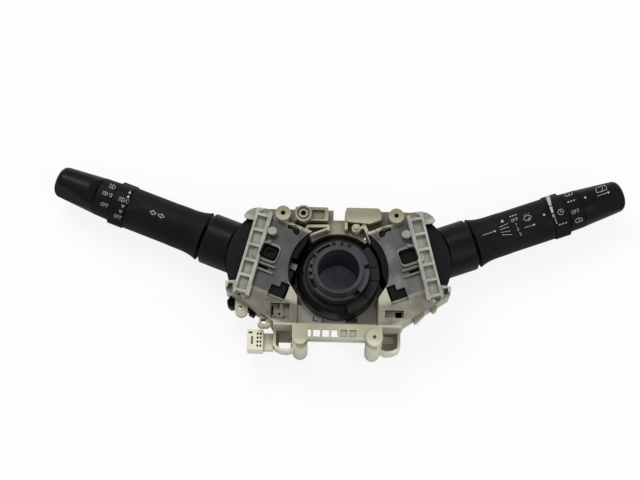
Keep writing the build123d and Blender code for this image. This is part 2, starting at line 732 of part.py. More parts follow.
    # lower left: a screw ear and a cable hook; lower right: two hooks
    with BuildSketch(Plane.XY.offset(panel_front - 10)):
        with Locations((-63.8, -26.7)):
            Circle(4.2)
        with Locations((-63.8, -26.7)):
            Rectangle(8.4, 9.0, align=(Align.CENTER, Align.MIN))
        with Locations((-64.4, -24.4)):
            Circle(1.2, mode=Mode.SUBTRACT)
    extrude(amount=4)
    with BuildSketch(Plane.XY.offset(panel_front - 11)):
        with BuildLine():
            Polyline(
                (-51.4, -28.6), (-51.4, -34.7), (-52.6, -36.2), (-51.0, -37.8), (-46.0, -37.6),
                (-43.4, -35.6), (-43.4, -33.4), close=True,
            )
        make_face()
        with Locations((-48.8, -34.2)):
            Rectangle(3.0, 3.4, mode=Mode.SUBTRACT)
    extrude(amount=8)
    for corners in (
        ((50.1, -28.6), (51.3, -32.1), (53.0, -31.6), (57.7, -26.6), (57.5, -25.0), (55.8, -23.6)),
        ((61.2, -20.0), (63.2, -24.4), (65.6, -23.6), (66.2, -21.8), (65.0, -17.8)),
    ):
        with BuildSketch(Plane.XY.offset(panel_front - 12)):
            with BuildLine():
                Polyline(*corners, close=True)
            make_face()
        extrude(amount=7)

save(column_body, "column_body")

# ---------------------------------------------------------------- steering angle sensor
sector_start = -75.0
sector_sweep = 120.0
with BuildPart() as sensor_case:
    with BuildSketch(Plane.XZ):
        with BuildLine():
            Polyline(
                (rotor_radius + running_fit, floor_level), (sensor_radius, floor_level),
                (sensor_radius, sensor_front - 5), (sensor_radius - 1.2, sensor_front - 2.2),
                (sensor_radius - 3.6, sensor_front + 0.6), (sensor_radius - 5.8, sensor_front + 0.6),
                (sensor_radius - 6.2, sensor_front), (rotor_radius + running_fit, sensor_front),
                close=True,
            )
        make_face()
    revolve(axis=Axis.Z)
    # raised segments on the right, split by radial slots
    with BuildSketch(Plane.XY.offset(sensor_front - 2)):
        add(ring_sector(rotor_flange_radius + 1, sensor_radius, sector_start, sector_sweep))
    extrude(amount=sector_height + 2)
    with BuildSketch(Plane.XY.offset(sensor_front + sector_height)):
        for slot_angle in (-75, -40, -10, 12):
            with Locations(Location((0, 0), slot_angle)):
                with Locations((rotor_flange_radius + 0.6, 0)):
                    Rectangle(8, 0.5, align=(Align.MIN, Align.CENTER))
    extrude(amount=-1.2, mode=Mode.SUBTRACT)
    # witness slot on the left
    with BuildSketch(Plane.XY.offset(sensor_front + 1)):
        with Locations((-sensor_radius + 3.9, 0)):
            SlotOverall(4.0, 0.9, rotation=90)
    extrude(amount=-3, mode=Mode.SUBTRACT)
save(sensor_case, "sensor_case")

rotor_flange_back = sensor_front + joint_gap
with BuildPart() as sensor_rotor:
    with BuildSketch(Plane.XY.offset(rotor_back)):
        Circle(rotor_radius)
    extrude(amount=rotor_front - 2 - rotor_back)
    with BuildSketch(Plane.XY.offset(rotor_front - 2)):
        Circle(rotor_radius - 1.2)
    extrude(amount=2)
    with BuildSketch(Plane.XY.offset(rotor_flange_back)):
        Circle(rotor_flange_radius)
    extrude(amount=rotor_flange_thickness)
    # driving lugs for the steering wheel hub, at their own heights
    for start, span, outer, top in (
        (104, 40, 21.1, 5.5), (87, 10, 20.2, 1.0), (72, 9, 19.6, 1.8), (14, 50, 20.2, 2.2),
        (-44, 50, 20.6, 2.8), (-142, 84, 20.0, 4.2),
    ):
        with BuildSketch(Plane.XY.offset(rotor_flange_back)):
            add(ring_sector(rotor_radius - 1, outer, start, span))
        extrude(amount=rotor_front - top - rotor_flange_back)
    with BuildSketch(Plane.XY.offset(rotor_front - 5.5)):
        add(ring_sector(rotor_radius + 0.9, 20.2, 108, 31))
    extrude(amount=-3.5, mode=Mode.SUBTRACT)
    for lug_angle in (164, 180, 195):
        with BuildSketch(Plane.XY.offset(rotor_flange_back)):
            with Locations(polar(rotor_radius + 0.9, lug_angle)):
                Circle(1.5)
        extrude(amount=rotor_front - 1.6 - rotor_flange_back)
    with BuildSketch(Plane.XY.offset(rotor_back)):
        Circle(rotor_bore_radius)
    extrude(amount=rotor_front - rotor_back, mode=Mode.SUBTRACT)
save(sensor_rotor, "sensor_rotor")

with BuildPart() as rotor_clip:
    with BuildSketch(Plane.XY.offset(floor_level - clip_thickness - 0.2)):
        Circle(clip_radius)
        Circle(rotor_radius + seat_fit, mode=Mode.SUBTRACT)
    extrude(amount=clip_thickness)
save(rotor_clip, "rotor_clip")

board_y = -(collar_outer_radius + 0.2)
with BuildPart() as sensor_board:
    with BuildSketch(Plane.XY.offset(floor_level - floor_thickness - sensor_board_thickness)):
        with Locations((0, board_y)):
            Rectangle(38, 4.4, align=(Align.CENTER, Align.MAX))
    extrude(amount=sensor_board_thickness)
save(sensor_board, "sensor_board")


# ---------------------------------------------------------------- switch modules
# Both are drawn on the right; the left one is mirrored afterwards.
column_in_case = (stalk_drop * sin(radians(rise)) - pivot_reach, stalk_drop * cos(radians(rise)))
screw_side = case_half_width - case_wall - screw_post_radius + 0.6
screw_places = [(reach - pivot_reach, edge * screw_side) for reach in screw_reaches for edge in (-1, 1)]
neck_margin = degrees(asin(neck_half_width / (face_radius - case_wall))) + 1.5
pawl_back = neck_front + 1.4
pawl_front = pawl_back + pawl_thickness


def case_plan():
    """Outline of the case about its pivot: a box with a round outer face, relieved for the sensor."""
    with BuildSketch() as plan:
        Circle(face_radius)
        with Locations((case_inner_reach - pivot_reach, 0)):
            Rectangle(
                2 * face_radius, 2 * case_half_width,
                align=(Align.MIN, Align.CENTER), mode=Mode.INTERSECT,
            )
        with Locations(column_in_case):
            Circle(sensor_radius + case_sensor_gap, mode=Mode.SUBTRACT)
    return plan.sketch


def make_case(travel_up, travel_down, has_pawl):
    """Moulded case, open at the back, with the pivot post and the slider guides."""
    with BuildPart() as case:
        with BuildSketch(level(case_back, pivot_reach)):
            add(case_plan())
        extrude(amount=case_thickness)
        with BuildSketch(level(case_back, pivot_reach)):
            offset(case_plan(), amount=-case_wall)
        extrude(amount=case_thickness - case_wall, mode=Mode.SUBTRACT)
        with BuildSketch(level(stalk_z - neck_half_height - 0.8, pivot_reach)):
            add(ring_sector(
                face_radius - case_wall - 3, face_radius + 2,
                -travel_down - neck_margin, travel_up + travel_down + 2 * neck_margin,
            ))
        extrude(amount=2 * neck_half_height + 1.6, mode=Mode.SUBTRACT)
        with BuildSketch(level(cover_front, pivot_reach)):
            Circle(pivot_post_radius)
        extrude(amount=board_front - cover_front)
        with BuildSketch(level(pawl_front + 0.3, pivot_reach)):
            Circle(hub_radius)
        extrude(amount=board_front - pawl_front - 0.3)
        with BuildSketch(level(cover_front, pivot_reach)):
            with Locations(*screw_places):
                Circle(screw_post_radius)
        extrude(amount=board_front - cover_front)
        with BuildSketch(level(cover_front, pivot_reach)):
            with Locations(*screw_places):
                Circle(screw_radius + seat_fit)
        extrude(amount=screw_length, mode=Mode.SUBTRACT)
        with BuildSketch(level(slider_back - 0.4, slider_reach)):
            with GridLocations(slider_width + 0.4 + guide_thickness, 1, 2, 1):
                Rectangle(guide_thickness, 2 * board_half_length)
        extrude(amount=board_front - slider_back + 0.4)
        # wiring socket, open to the back
        with BuildSketch(level(case_back, socket_reach, -case_half_width)):
            Rectangle(socket_length, socket_drop, align=(Align.CENTER, Align.MAX))
        extrude(amount=socket_depth)
        with BuildSketch(level(case_back, socket_reach, -case_half_width - socket_drop / 2)):
            Rectangle(socket_length - 2 * socket_wall, socket_drop - 2 * socket_wall)
        extrude(amount=socket_depth - socket_wall, mode=Mode.SUBTRACT)
        # slot for the pawl, and a raised pad that shows in the upper window of the panel
        if has_pawl:
            with BuildSketch(level(pawl_back - 0.8, case_inner_reach - 2)):
                Rectangle(6.5, 9.0, align=(Align.MIN, Align.CENTER))
            extrude(amount=case_front - pawl_back + 0.8, mode=Mode.SUBTRACT)
            with BuildSketch(level(case_front, window_reach - 0.6, 1.3)):
                RectangleRounded(window_length - 4.4, window_width - 3.6, 1.6)
                RectangleRounded(window_length - 6.4, window_width - 5.6, 1.0, mode=Mode.SUBTRACT)
            extrude(amount=panel_thickness)
    return case


def make_cover(travel_up, travel_down):
    """Back cover of the case, with the detent track the plunger rides on."""
    with BuildPart() as cover:
        with BuildSketch(level(case_back, pivot_reach)):
            offset(case_plan(), amount=-case_wall - 0.1)
            with Locations(*screw_places):
                Circle(screw_radius + seat_fit, mode=Mode.SUBTRACT)
        extrude(amount=cover_thickness)
        with BuildSketch(level(cover_front, pivot_reach)):
            Circle(hub_radius)
            Circle(pivot_post_radius + running_fit, mode=Mode.SUBTRACT)
        extrude(amount=neck_back - cover_front - joint_gap)
        with BuildSketch(level(cover_front, pivot_reach)):
            add(ring_sector(
                drive_radius - detent_half_width, drive_radius + detent_half_width,
                -travel_down - 9, travel_up + travel_down + 18,
            ))
        extrude(amount=detent_height)
        detent_angles = {travel_up, 0.0, -travel_down, -travel_down / 3, -travel_down * 2 / 3}
        if travel_up == travel_down:
            detent_angles = {travel_up, 0.0, -travel_down}
        with BuildSketch(level(cover_front + detent_height, pivot_reach)):
            for angle in sorted(detent_angles):
                with Locations(Location((0, 0), angle)):
                    with Locations((drive_radius, 0)):
                        Rectangle(2 * detent_half_width + 2, 1.1)
        extrude(amount=-detent_depth, mode=Mode.SUBTRACT)
    return cover


def make_screws():
    """Four screws that hold the cover, one group."""
    with BuildPart() as screws:
        with BuildSketch(level(case_back - screw_head_height, pivot_reach)):
            with Locations(*screw_places):
                Circle(screw_head_radius)
        extrude(amount=screw_head_height)
        with BuildSketch(level(case_back, pivot_reach)):
            with Locations(*screw_places):
                Circle(screw_radius)
        extrude(amount=cover_thickness + screw_length - 0.5)
    return screws


def make_board():
    """Circuit board under the front wall of the case."""
    with BuildPart() as board:
        with BuildSketch(level(board_back, slider_reach)):
            Rectangle(slider_width, 2 * board_half_length - 0.6)
        extrude(amount=board_thickness)
    return board


def make_terminals():
    """Contact tracks on the board and the pins of the wiring socket."""
    with BuildPart() as terminals:
        with BuildSketch(level(track_back, slider_reach)):
            with GridLocations(3.2, 1, 3, 1):
                Rectangle(1.8, 2 * board_half_length - 4)
        extrude(amount=track_thickness)
        with BuildSketch(level(case_back + socket_depth - socket_wall, socket_reach,
                               -case_half_width - socket_drop / 2)):
            with GridLocations(2.2, 2.4, 5, 2):
                Rectangle(0.64, 0.64)
        extrude(amount=-pin_length)
    return terminals


def make_slider():
    """Sliding contact carrier, driven by the pin of the bracket."""
    with BuildPart() as slider:
        with BuildSketch(level(slider_back, slider_reach)):
            Rectangle(slider_width, 2 * slider_half_length)
            with Locations((-0.4, 0)):
                SlotOverall(2 * drive_pin_radius + 1.6, 2 * drive_pin_radius + 0.3, mode=Mode.SUBTRACT)
        extrude(amount=slider_thickness)
    return slider


# ---------------------------------------------------------------- turning bracket and lever
fork_root = tilt_reach - tongue_radius - 0.4
fork_end = tilt_reach + tongue_radius
tip_height = plunger_tip_radius - sqrt(plunger_tip_radius**2 - plunger_radius**2)


def make_bracket():
    """Arm on the pivot post; its forked outer end carries the lever."""
    with BuildPart() as bracket:
        with BuildSketch(level(neck_back, pivot_reach)):
            Circle(hub_radius)
            Rectangle(fork_end - pivot_reach, 2 * neck_half_width, align=(Align.MIN, Align.CENTER))
            Circle(pivot_post_radius + running_fit, mode=Mode.SUBTRACT)
        extrude(amount=2 * neck_half_height)
        with BuildSketch(level(neck_back, fork_root)):
            Rectangle(
                fork_end - fork_root, 2 * tongue_half_width + 0.4, align=(Align.MIN, Align.CENTER)
            )
        extrude(amount=2 * neck_half_height, mode=Mode.SUBTRACT)
        with BuildSketch(tilt_plane()):
            Circle(tilt_pin_radius + seat_fit)
        extrude(amount=neck_half_width, both=True, mode=Mode.SUBTRACT)
        with BuildSketch(level(neck_back, slider_reach)):
            Circle(plunger_radius + running_fit)
        extrude(amount=plunger_bore_depth, mode=Mode.SUBTRACT)
        with BuildSketch(level(neck_front, slider_reach)):
            Circle(drive_pin_radius)
        extrude(amount=slider_front - 0.4 - neck_front)
    return bracket


def tilt_plane():
    """Plane square to the cross pin, through the stalk axis."""
    return Plane(origin=on_stalk(tilt_reach, 0, stalk_z), x_dir=stalk_x, z_dir=stalk_y)


def make_tilt_pin():
    with BuildPart() as pin:
        with BuildSketch(tilt_plane()):
            Circle(tilt_pin_radius)
        extrude(amount=neck_half_width, both=True)
    return pin


def make_plunger():
    """Detent plunger with a rounded tip."""
    with BuildPart() as plunger:
        tip_place = on_stalk(slider_reach, 0, plunger_tip)
        with BuildSketch(Plane(origin=tip_place, x_dir=stalk_x, z_dir=-stalk_y)):
            with BuildLine():
                tip = RadiusArc((0, 0), (plunger_radius, tip_height), -plunger_tip_radius)
                Polyline(tip @ 1, (plunger_radius, plunger_length), (0, plunger_length), (0, 0))
            make_face()
        revolve(axis=Axis(tip_place, (0, 0, 1)))
    return plunger


def make_detent_spring():
    """Compression spring between the plunger and the bottom of its bore."""
    free_back = plunger_tip + plunger_length
    free_front = neck_back + plunger_bore_depth
    wire = 0.3
    with BuildPart() as spring:
        with BuildLine(level(free_back + wire, slider_reach)) as coil:
            Helix(pitch=(free_front - free_back - 2 * wire) / 3, height=free_front - free_back - 2 * wire,
                  radius=plunger_radius - 0.6)
        with BuildSketch(Plane(origin=coil.line @ 0, z_dir=coil.line % 0)):
            RegularPolygon(wire, 6)
        sweep(is_frenet=True)
    return spring


def make_collar():
    """Round shroud on the bracket; its inner end follows the curved face of the case."""
    with BuildPart() as collar:
        with BuildSketch(across(pivot_reach + face_radius / 2)):
            Circle(collar_radius)
        extrude(amount=collar_end - pivot_reach - face_radius / 2)
        fillet(collar.edges().sort_by(lambda edge: (edge.center() - crossing).dot(stalk_x))[-1], 1.4)
        with BuildSketch(across(collar_start + collar_web)):
            Circle(collar_radius - collar_wall)
        extrude(amount=collar_length, mode=Mode.SUBTRACT)
        with BuildSketch(level(stalk_z, pivot_reach)):
            Circle(face_radius + face_gap)
        extrude(amount=collar_radius + 1, both=True, mode=Mode.SUBTRACT)
        with BuildSketch(across(pivot_reach)):
            Rectangle(2 * neck_half_width, 2 * neck_half_height)
        extrude(amount=collar_end - pivot_reach, mode=Mode.SUBTRACT)
    return collar


def slope(start, end, start_height, end_height):
    """Cutter for all that stands above a sloping line, seen from the side of the stalk."""
    with BuildPart() as cutter:
        with BuildSketch(Plane(origin=on_stalk(0, 0, stalk_z), x_dir=stalk_x, z_dir=-stalk_y)):
            with BuildLine():
                Polyline(
                    (start, start_height), (end, end_height), (end, 2 * lever_radius),
                    (start, 2 * lever_radius), close=True,
                )
            make_face()
        extrude(amount=2 * lever_radius, both=True)
    return cutter.part


def make_lever():
    """Stalk body: a flared flange that settles into a round grip, with a tongue for the fork."""
    flare = (
        (0.0, flange_half_width, flange_half_height),
        (5.0, lever_radius + 1.1, flange_half_height + 0.1),
        (12.0, lever_radius + 0.3, (flange_half_height + lever_radius) / 2),
    )
    with BuildPart() as lever:
        for station, half_width, half_height in flare:
            with BuildSketch(across(lever_start + station)):
                Ellipse(half_width, half_height)
        with BuildSketch(across(lever_start + flare_length)):
            Circle(lever_radius)
        loft()
        with BuildSketch(across(lever_start + flare_length)):
            Circle(lever_radius)
        extrude(amount=lever_length - flare_length)
        with BuildSketch(across(collar_end - 3)):
            Circle(neck_half_width)
        extrude(amount=lever_start - collar_end + 4)
        with BuildSketch(across(tilt_reach)):
            Rectangle(2 * tongue_half_width, 2 * tongue_radius)
        extrude(amount=lever_start - tilt_reach + 1)
        with BuildSketch(tilt_plane()):
            Circle(tongue_radius)
        extrude(amount=tongue_half_width, both=True)
        with BuildSketch(tilt_plane()):
            Circle(tilt_pin_radius + running_fit)
        extrude(amount=tongue_half_width, both=True, mode=Mode.SUBTRACT)
        bevel = slope(ring_start - lever_bevel, ring_start, lever_radius, lever_radius - bevel_drop)
        add(bevel, mode=Mode.SUBTRACT)
        with BuildSketch(across(sleeve_start)):
            Circle(sleeve_radius + seat_fit)
        extrude(amount=sleeve_depth, mode=Mode.SUBTRACT)
        with BuildSketch(across(shaft_start - joint_gap)):
            Circle(shaft_radius + running_fit)
        extrude(amount=shaft_tail + joint_gap, mode=Mode.SUBTRACT)
    return lever


def make_index_ring():
    """Fixed ring between the two turning ones, on a tube seated in the lever."""
    with BuildPart() as index_ring:
        with BuildSketch(across(index_start)):
            Circle(index_radius)
        extrude(amount=index_length, taper=2.0)
        with BuildSketch(across(sleeve_start)):
            Circle(sleeve_radius)
        extrude(amount=index_start - sleeve_start)
        with BuildSketch(across(sleeve_start)):
            Circle(shaft_radius + running_fit)
        extrude(amount=index_end - sleeve_start, mode=Mode.SUBTRACT)
    return index_ring


def make_ring():
    """Rotary ring with two rounded finger lobes."""
    with BuildPart() as ring:
        with BuildSketch(across(ring_start)) as outline:
            Circle(ring_radius)
            lobe_offset = ring_radius + ring_lobe - lobe_radius
            with Locations((lobe_offset, 0), (-lobe_offset, 0)):
                Circle(lobe_radius)
            fillet(outline.vertices().filter_by(lambda corner: abs(corner.Y) > 1), radius=4.0)
        extrude(amount=ring_length)
        along = ring.faces().sort_by(lambda face: (face.center() - crossing).dot(stalk_x))
        chamfer(along[0].edges() + along[-1].edges(), length=0.7)
        with BuildSketch(across(ring_start)):
            Circle(sleeve_radius + running_fit)
        extrude(amount=ring_length, mode=Mode.SUBTRACT)
    return ring


def make_knob(thumb_angle, bevel_depth):
    """End knob: a tapered barrel with a rounded tip and a flat for the thumb.

    The flat faces this far round from the driver; the bevel is on the driver's side, at the ring.
    """
    thumb = stalk_y * -sin(radians(thumb_angle)) + Vector(0, 0, cos(radians(thumb_angle)))
    lean = radians(thumb_lean)
    with BuildPart() as knob:
        with BuildSketch(Plane(origin=on_stalk(0, 0, stalk_z), x_dir=stalk_x, z_dir=-stalk_y)):
            with BuildLine():
                side_line = Line((knob_start, knob_radius), (knob_end - tip_round, knob_tip_radius))
                tip_arc = TangentArc(
                    side_line @ 1, (knob_end, knob_tip_radius - tip_round), tangent=side_line % 1,
                )
                Polyline(tip_arc @ 1, (knob_end, 0), (knob_start, 0), (knob_start, knob_radius))
            make_face()
        revolve(axis=Axis(on_stalk(0, 0, stalk_z), stalk_x))
        with BuildSketch(Plane(
            origin=on_stalk(knob_start + 1.5, 0, stalk_z) + thumb * knob_radius,
            x_dir=stalk_x * cos(lean) - thumb * sin(lean), z_dir=thumb * cos(lean) + stalk_x * sin(lean),
        )):
            Rectangle(knob_length + 10, 3 * knob_radius, align=(Align.MIN, Align.CENTER))
        extrude(amount=8, mode=Mode.SUBTRACT)
        if bevel_depth:
            add(
                slope(knob_start, knob_start + 2 * bevel_depth, knob_radius - bevel_depth, knob_radius),
                mode=Mode.SUBTRACT,
            )
        with BuildSketch(across(knob_start)):
            Circle(shaft_radius + seat_fit)
        extrude(amount=shaft_depth, mode=Mode.SUBTRACT)
    return knob


def make_shaft():
    with BuildPart() as shaft:
        with BuildSketch(across(shaft_start)):
            Circle(shaft_radius)
        extrude(amount=knob_start + shaft_depth - shaft_start)
    return shaft


right_pieces = {
    "switch_case": make_case(wiper_travel_up, wiper_travel_down, False),
    "case_cover": make_cover(wiper_travel_up, wiper_travel_down),
    "knob": make_knob(36, 0),
}
left_pieces = {
    "switch_case": make_case(turn_travel, turn_travel, True),
    "case_cover": make_cover(turn_travel, turn_travel),
    "knob": make_knob(60, 4.0),
}
for name, piece in right_pieces.items():
    save(piece, "right_" + name)
for name, piece in left_pieces.items():
    save(mirrored(piece), "left_" + name)

shared_pieces = {
    "cover_screws": make_screws(),
    "contact_board": make_board(),
    "terminals": make_terminals(),
    "contact_slider": make_slider(),
    "turn_bracket": make_bracket(),
    "tilt_pin": make_tilt_pin(),
    "detent_plunger": make_plunger(),
    "detent_spring": make_detent_spring(),
    "lever_collar": make_collar(),
    "lever": make_lever(),
    "index_ring": make_index_ring(),
    "rotary_ring": make_ring(),
    "knob_shaft": make_shaft(),
}
for name, piece in shared_pieces.items():
    save(piece, "right_" + name)
    save(mirrored(piece), "left_" + name)

# ---------------------------------------------------------------- cancelling pawl
# It turns on the left pivot post and reaches through the case towards the sensor.
with BuildPart() as pawl:
    tip_reach = sqrt((sensor_radius + pawl_sensor_gap) ** 2 - column_in_case[1] ** 2) + column_in_case[0]
    with BuildSketch(level(pawl_back, pivot_reach)):
        Circle(hub_radius - 0.4)
        Rectangle(-tip_reach, 4.2, align=(Align.MAX, Align.CENTER))
        Circle(pivot_post_radius + running_fit, mode=Mode.SUBTRACT)
    extrude(amount=pawl_thickness)
save(mirrored(pawl), "cancel_pawl")

# ---------------------------------------------------------------- wire clip
# It lies along the lower edge of the left wing, behind the screw ear.
clip_back = low_wall_back + 0.5
clip_front = panel_front - 10.3


def edge_plane(height):
    """Plane with its x axis along the lower edge of the wing, outwards from the heel."""
    return Plane(origin=heel + Vector(0, 0, height), x_dir=end_block_foot - heel, z_dir=(0, 0, 1))


with BuildPart() as wire_clip:
    with BuildSketch(edge_plane(clip_back)):
        with BuildLine():
            Polyline(
                (14.6, 0), (14.6, -2.6), (18.2, -3.0), (18.2, -1.6), (28.0, -1.6), (28.6, -5.6),
                (30.0, -6.8), (33.0, -6.4), (35.0, -4.2), (35.0, 0), close=True,
            )
        make_face()
    extrude(amount=clip_front - clip_back)
    with BuildSketch(edge_plane(clip_front)):
        with Locations((31.8, -3.4)):
            Rectangle(3.4, 3.6)
            Rectangle(1.6, 1.8, mode=Mode.SUBTRACT)
    extrude(amount=-3, mode=Mode.SUBTRACT)
save(mirrored(wire_clip), "wire_clip")

# ---------------------------------------------------------------- wiring connector
connector_x = -heel.X - connector_gap - connector_width / 2
connector_y = connector_top - connector_height / 2
cavity_x = connector_x + connector_width / 2 - 2.6
with BuildPart() as harness_connector:
    with BuildSketch(Plane.XY.offset(connector_back)):
        with Locations((connector_x, connector_y)):
            Rectangle(connector_width, connector_height)
    extrude(amount=connector_depth)
    # arm that snaps on the clip bracket
    with BuildSketch(Plane.XY.offset(connector_back)):
        with Locations((-heel.X, connector_y)):
            Rectangle(connector_gap, connector_height - 3, align=(Align.MAX, Align.CENTER))
    extrude(amount=connector_depth - 4)
    with BuildSketch(Plane.XY.offset(connector_back + connector_depth)):
        with Locations((cavity_x, connector_y)):
            with GridLocations(cavity_pitch, cavity_row_pitch, 2, 4):
                Rectangle(1.2, 1.6)
    extrude(amount=-cavity_depth, mode=Mode.SUBTRACT)
    # latch bridge and keying slots on the plain half
    with BuildSketch(Plane.XY.offset(connector_back + connector_depth)):
        with Locations((connector_x - 2.0, connector_y - 0.4)):
            Rectangle(1.1, 5.4)
        with Locations((connector_x - 3.2, connector_y + 4.8)):
            Rectangle(2.6, 1.2)
    extrude(amount=-3, mode=Mode.SUBTRACT)
save(harness_connector, "harness_connector")

with BuildPart() as connector_pins:
    with BuildSketch(Plane.XY.offset(connector_back + connector_depth - cavity_depth)):
        with Locations((cavity_x, connector_y)):
            with GridLocations(cavity_pitch, cavity_row_pitch, 2, 4):
                Rectangle(0.64, 0.64)
    extrude(amount=6)
save(connector_pins, "connector_pins")
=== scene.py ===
"""Combination stalk switch: materials, printed marks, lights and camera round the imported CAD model."""
import json
import math

import bpy
from mathutils import Matrix, Vector
from mathutils.bvhtree import BVHTree


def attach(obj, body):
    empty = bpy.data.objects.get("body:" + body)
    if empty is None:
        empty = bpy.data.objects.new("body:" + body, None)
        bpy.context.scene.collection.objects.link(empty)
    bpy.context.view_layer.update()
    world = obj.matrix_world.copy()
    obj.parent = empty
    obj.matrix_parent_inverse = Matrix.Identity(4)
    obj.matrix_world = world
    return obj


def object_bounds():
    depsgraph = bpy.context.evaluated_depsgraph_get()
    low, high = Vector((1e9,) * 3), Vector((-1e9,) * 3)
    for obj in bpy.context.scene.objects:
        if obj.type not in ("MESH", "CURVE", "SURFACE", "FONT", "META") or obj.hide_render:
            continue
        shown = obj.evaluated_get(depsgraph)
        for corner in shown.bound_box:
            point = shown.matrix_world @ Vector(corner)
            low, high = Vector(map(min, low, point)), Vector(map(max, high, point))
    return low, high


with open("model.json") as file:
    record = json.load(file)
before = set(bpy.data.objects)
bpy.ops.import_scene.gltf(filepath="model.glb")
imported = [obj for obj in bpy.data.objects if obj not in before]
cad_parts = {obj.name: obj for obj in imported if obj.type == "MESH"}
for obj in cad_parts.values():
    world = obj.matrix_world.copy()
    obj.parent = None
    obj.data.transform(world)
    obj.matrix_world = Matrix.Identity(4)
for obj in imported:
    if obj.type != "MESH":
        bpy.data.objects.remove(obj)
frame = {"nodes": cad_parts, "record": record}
cad_box = [list(corner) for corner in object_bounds()]
nodes = frame["nodes"]
behaviour = frame["record"]["behaviour"]
body_of_node = {node: body for body, names in behaviour["bodies"].items() for node in names}
joints = {joint["name"]: joint for joint in behaviour["joints"]}

# ------------------------------------------------------------------ camera
PICTURE = (640, 480)             # pixels of the finished picture
MM_PER_PIXEL = 0.67              # at the height of the hub
ANCHOR_PIXEL = (338.2, 275.0)    # where the column axis crosses the hub's height
ANCHOR_HEIGHT = 0.030            # of the hub above the part's underside
TILT = math.radians(17.0)        # the camera looks from below the column axis
ROLL = math.radians(1.5)
DISTANCE = 0.90                  # from the camera to the hub's height
SENSOR = 36.0                    # mm
NEAREST = 0.01                   # the camera draws nothing nearer or farther than these
FARTHEST = 20

to_camera = Vector((0, -math.sin(TILT), math.cos(TILT)))
plain_right = Vector((1, 0, 0))
plain_up = Vector((0, math.cos(TILT), math.sin(TILT)))
right = plain_right * math.cos(ROLL) + plain_up * math.sin(ROLL)
up = plain_up * math.cos(ROLL) - plain_right * math.sin(ROLL)
pixel = MM_PER_PIXEL / 1000
target = (Vector((0, 0, ANCHOR_HEIGHT)) - right * (ANCHOR_PIXEL[0] - PICTURE[0] / 2) * pixel
          + up * (ANCHOR_PIXEL[1] - PICTURE[1] / 2) * pixel)
eye = target + to_camera * DISTANCE

camera_data = bpy.data.cameras.new("camera")
camera_data.sensor_width = SENSOR
camera_data.lens = SENSOR * DISTANCE / (PICTURE[0] * pixel)
camera_data.clip_start = NEAREST
camera_data.clip_end = FARTHEST
camera = bpy.data.objects.new("camera", camera_data)
bpy.context.collection.objects.link(camera)
camera.matrix_world = Matrix((
    (right.x, up.x, to_camera.x, eye.x),
    (right.y, up.y, to_camera.y, eye.y),
    (right.z, up.z, to_camera.z, eye.z),
    (0, 0, 0, 1)))
bpy.context.scene.camera = camera
bpy.context.scene.view_settings.view_transform = "Standard"


def sight(x, y):
    """Direction from the camera through the picture's point x, y."""
    point = target + right * (x - PICTURE[0] / 2) * pixel - up * (y - PICTURE[1] / 2) * pixel
    return (point - eye).normalized()


# ------------------------------------------------------------------ shader helpers
BEVEL_SAMPLES = 4
CAVITY_SAMPLES = 6
BLACK = (0, 0, 0)
WHITE = (1, 1, 1)


def new_material(name):
    material = bpy.data.materials.new(name)
    material.use_nodes = True
    tree = material.node_tree
    shader = tree.nodes["Principled BSDF"]
    place = tree.nodes.new("ShaderNodeTexCoord").outputs["Object"]
    return material, tree, shader, place


def feed(tree, socket, value):
    """Link another socket to this one, or set it to a number or a colour."""
    if isinstance(value, bpy.types.NodeSocket):
        tree.links.new(value, socket)
    elif isinstance(value, tuple):
        socket.default_value = (*value, 1)
    else:
        socket.default_value = value


def noise(tree, place, scale, detail=3.0, roughness=0.55):
    node = tree.nodes.new("ShaderNodeTexNoise")
    node.inputs["Scale"].default_value = scale
    node.inputs["Detail"].default_value = detail
    node.inputs["Roughness"].default_value = roughness
    tree.links.new(place, node.inputs["Vector"])
    return node.outputs["Fac"]


def ramp(tree, value, stops):
    """Colour of the value, from stops that each hold a position and a colour."""
    node = tree.nodes.new("ShaderNodeValToRGB")
    elements = node.color_ramp.elements
    while len(elements) < len(stops):
        elements.new(0.5)
    for element, (where, colour) in zip(elements, stops):
        element.position = where
        element.color = (*colour, 1)
    tree.links.new(value, node.inputs["Fac"])
    return node.outputs["Color"]


def mix(tree, factor, first, second, how="MIX"):
    node = tree.nodes.new("ShaderNodeMix")
    node.data_type = "RGBA"
    node.blend_type = how
    slots = [s for s in node.inputs if s.enabled]
    for socket, value in zip(slots, (factor, first, second)):
        feed(tree, socket, value)
    return [s for s in node.outputs if s.enabled][0]


def tint(tree, mask, base, colour):
    """The base, times the colour where the mask is 1."""
    return mix(tree, mask, base, mix(tree, 1.0, base, colour, "MULTIPLY"))


def math_node(tree, how, first, second):
    node = tree.nodes.new("ShaderNodeMath")
    node.operation = how
    for socket, value in zip(node.inputs, (first, second)):
        feed(tree, socket, value)
    return node.outputs[0]


def product(tree, *values):
    result = values[0]
    for value in values[1:]:
        result = math_node(tree, "MULTIPLY", result, value)
    return result


def over(tree, value, level):
    """1 where the value is greater than the level, else 0."""
    return math_node(tree, "GREATER_THAN", value, level)


def under(tree, value, level):
    """1 where the value is less than the level, else 0."""
    return math_node(tree, "LESS_THAN", value, level)


def window(tree, value, low, high, soft):
    """1 where the value lies between low and high, with soft ends."""
    rise = tree.nodes.new("ShaderNodeMapRange")
    rise.interpolation_type = "SMOOTHSTEP"
    fall = tree.nodes.new("ShaderNodeMapRange")
    fall.interpolation_type = "SMOOTHSTEP"
    for node, start, end in ((rise, low - soft, low + soft), (fall, high + soft, high - soft)):
        node.inputs["From Min"].default_value = start
        node.inputs["From Max"].default_value = end
        tree.links.new(value, node.inputs["Value"])
    return product(tree, rise.outputs[0], fall.outputs[0])


def along(tree, plan, direction):
    """Distance in the plane along the direction, from the plan's x and y."""
    return math_node(tree, "ADD", product(tree, plan[0], direction[0]), product(tree, plan[1], direction[1]))


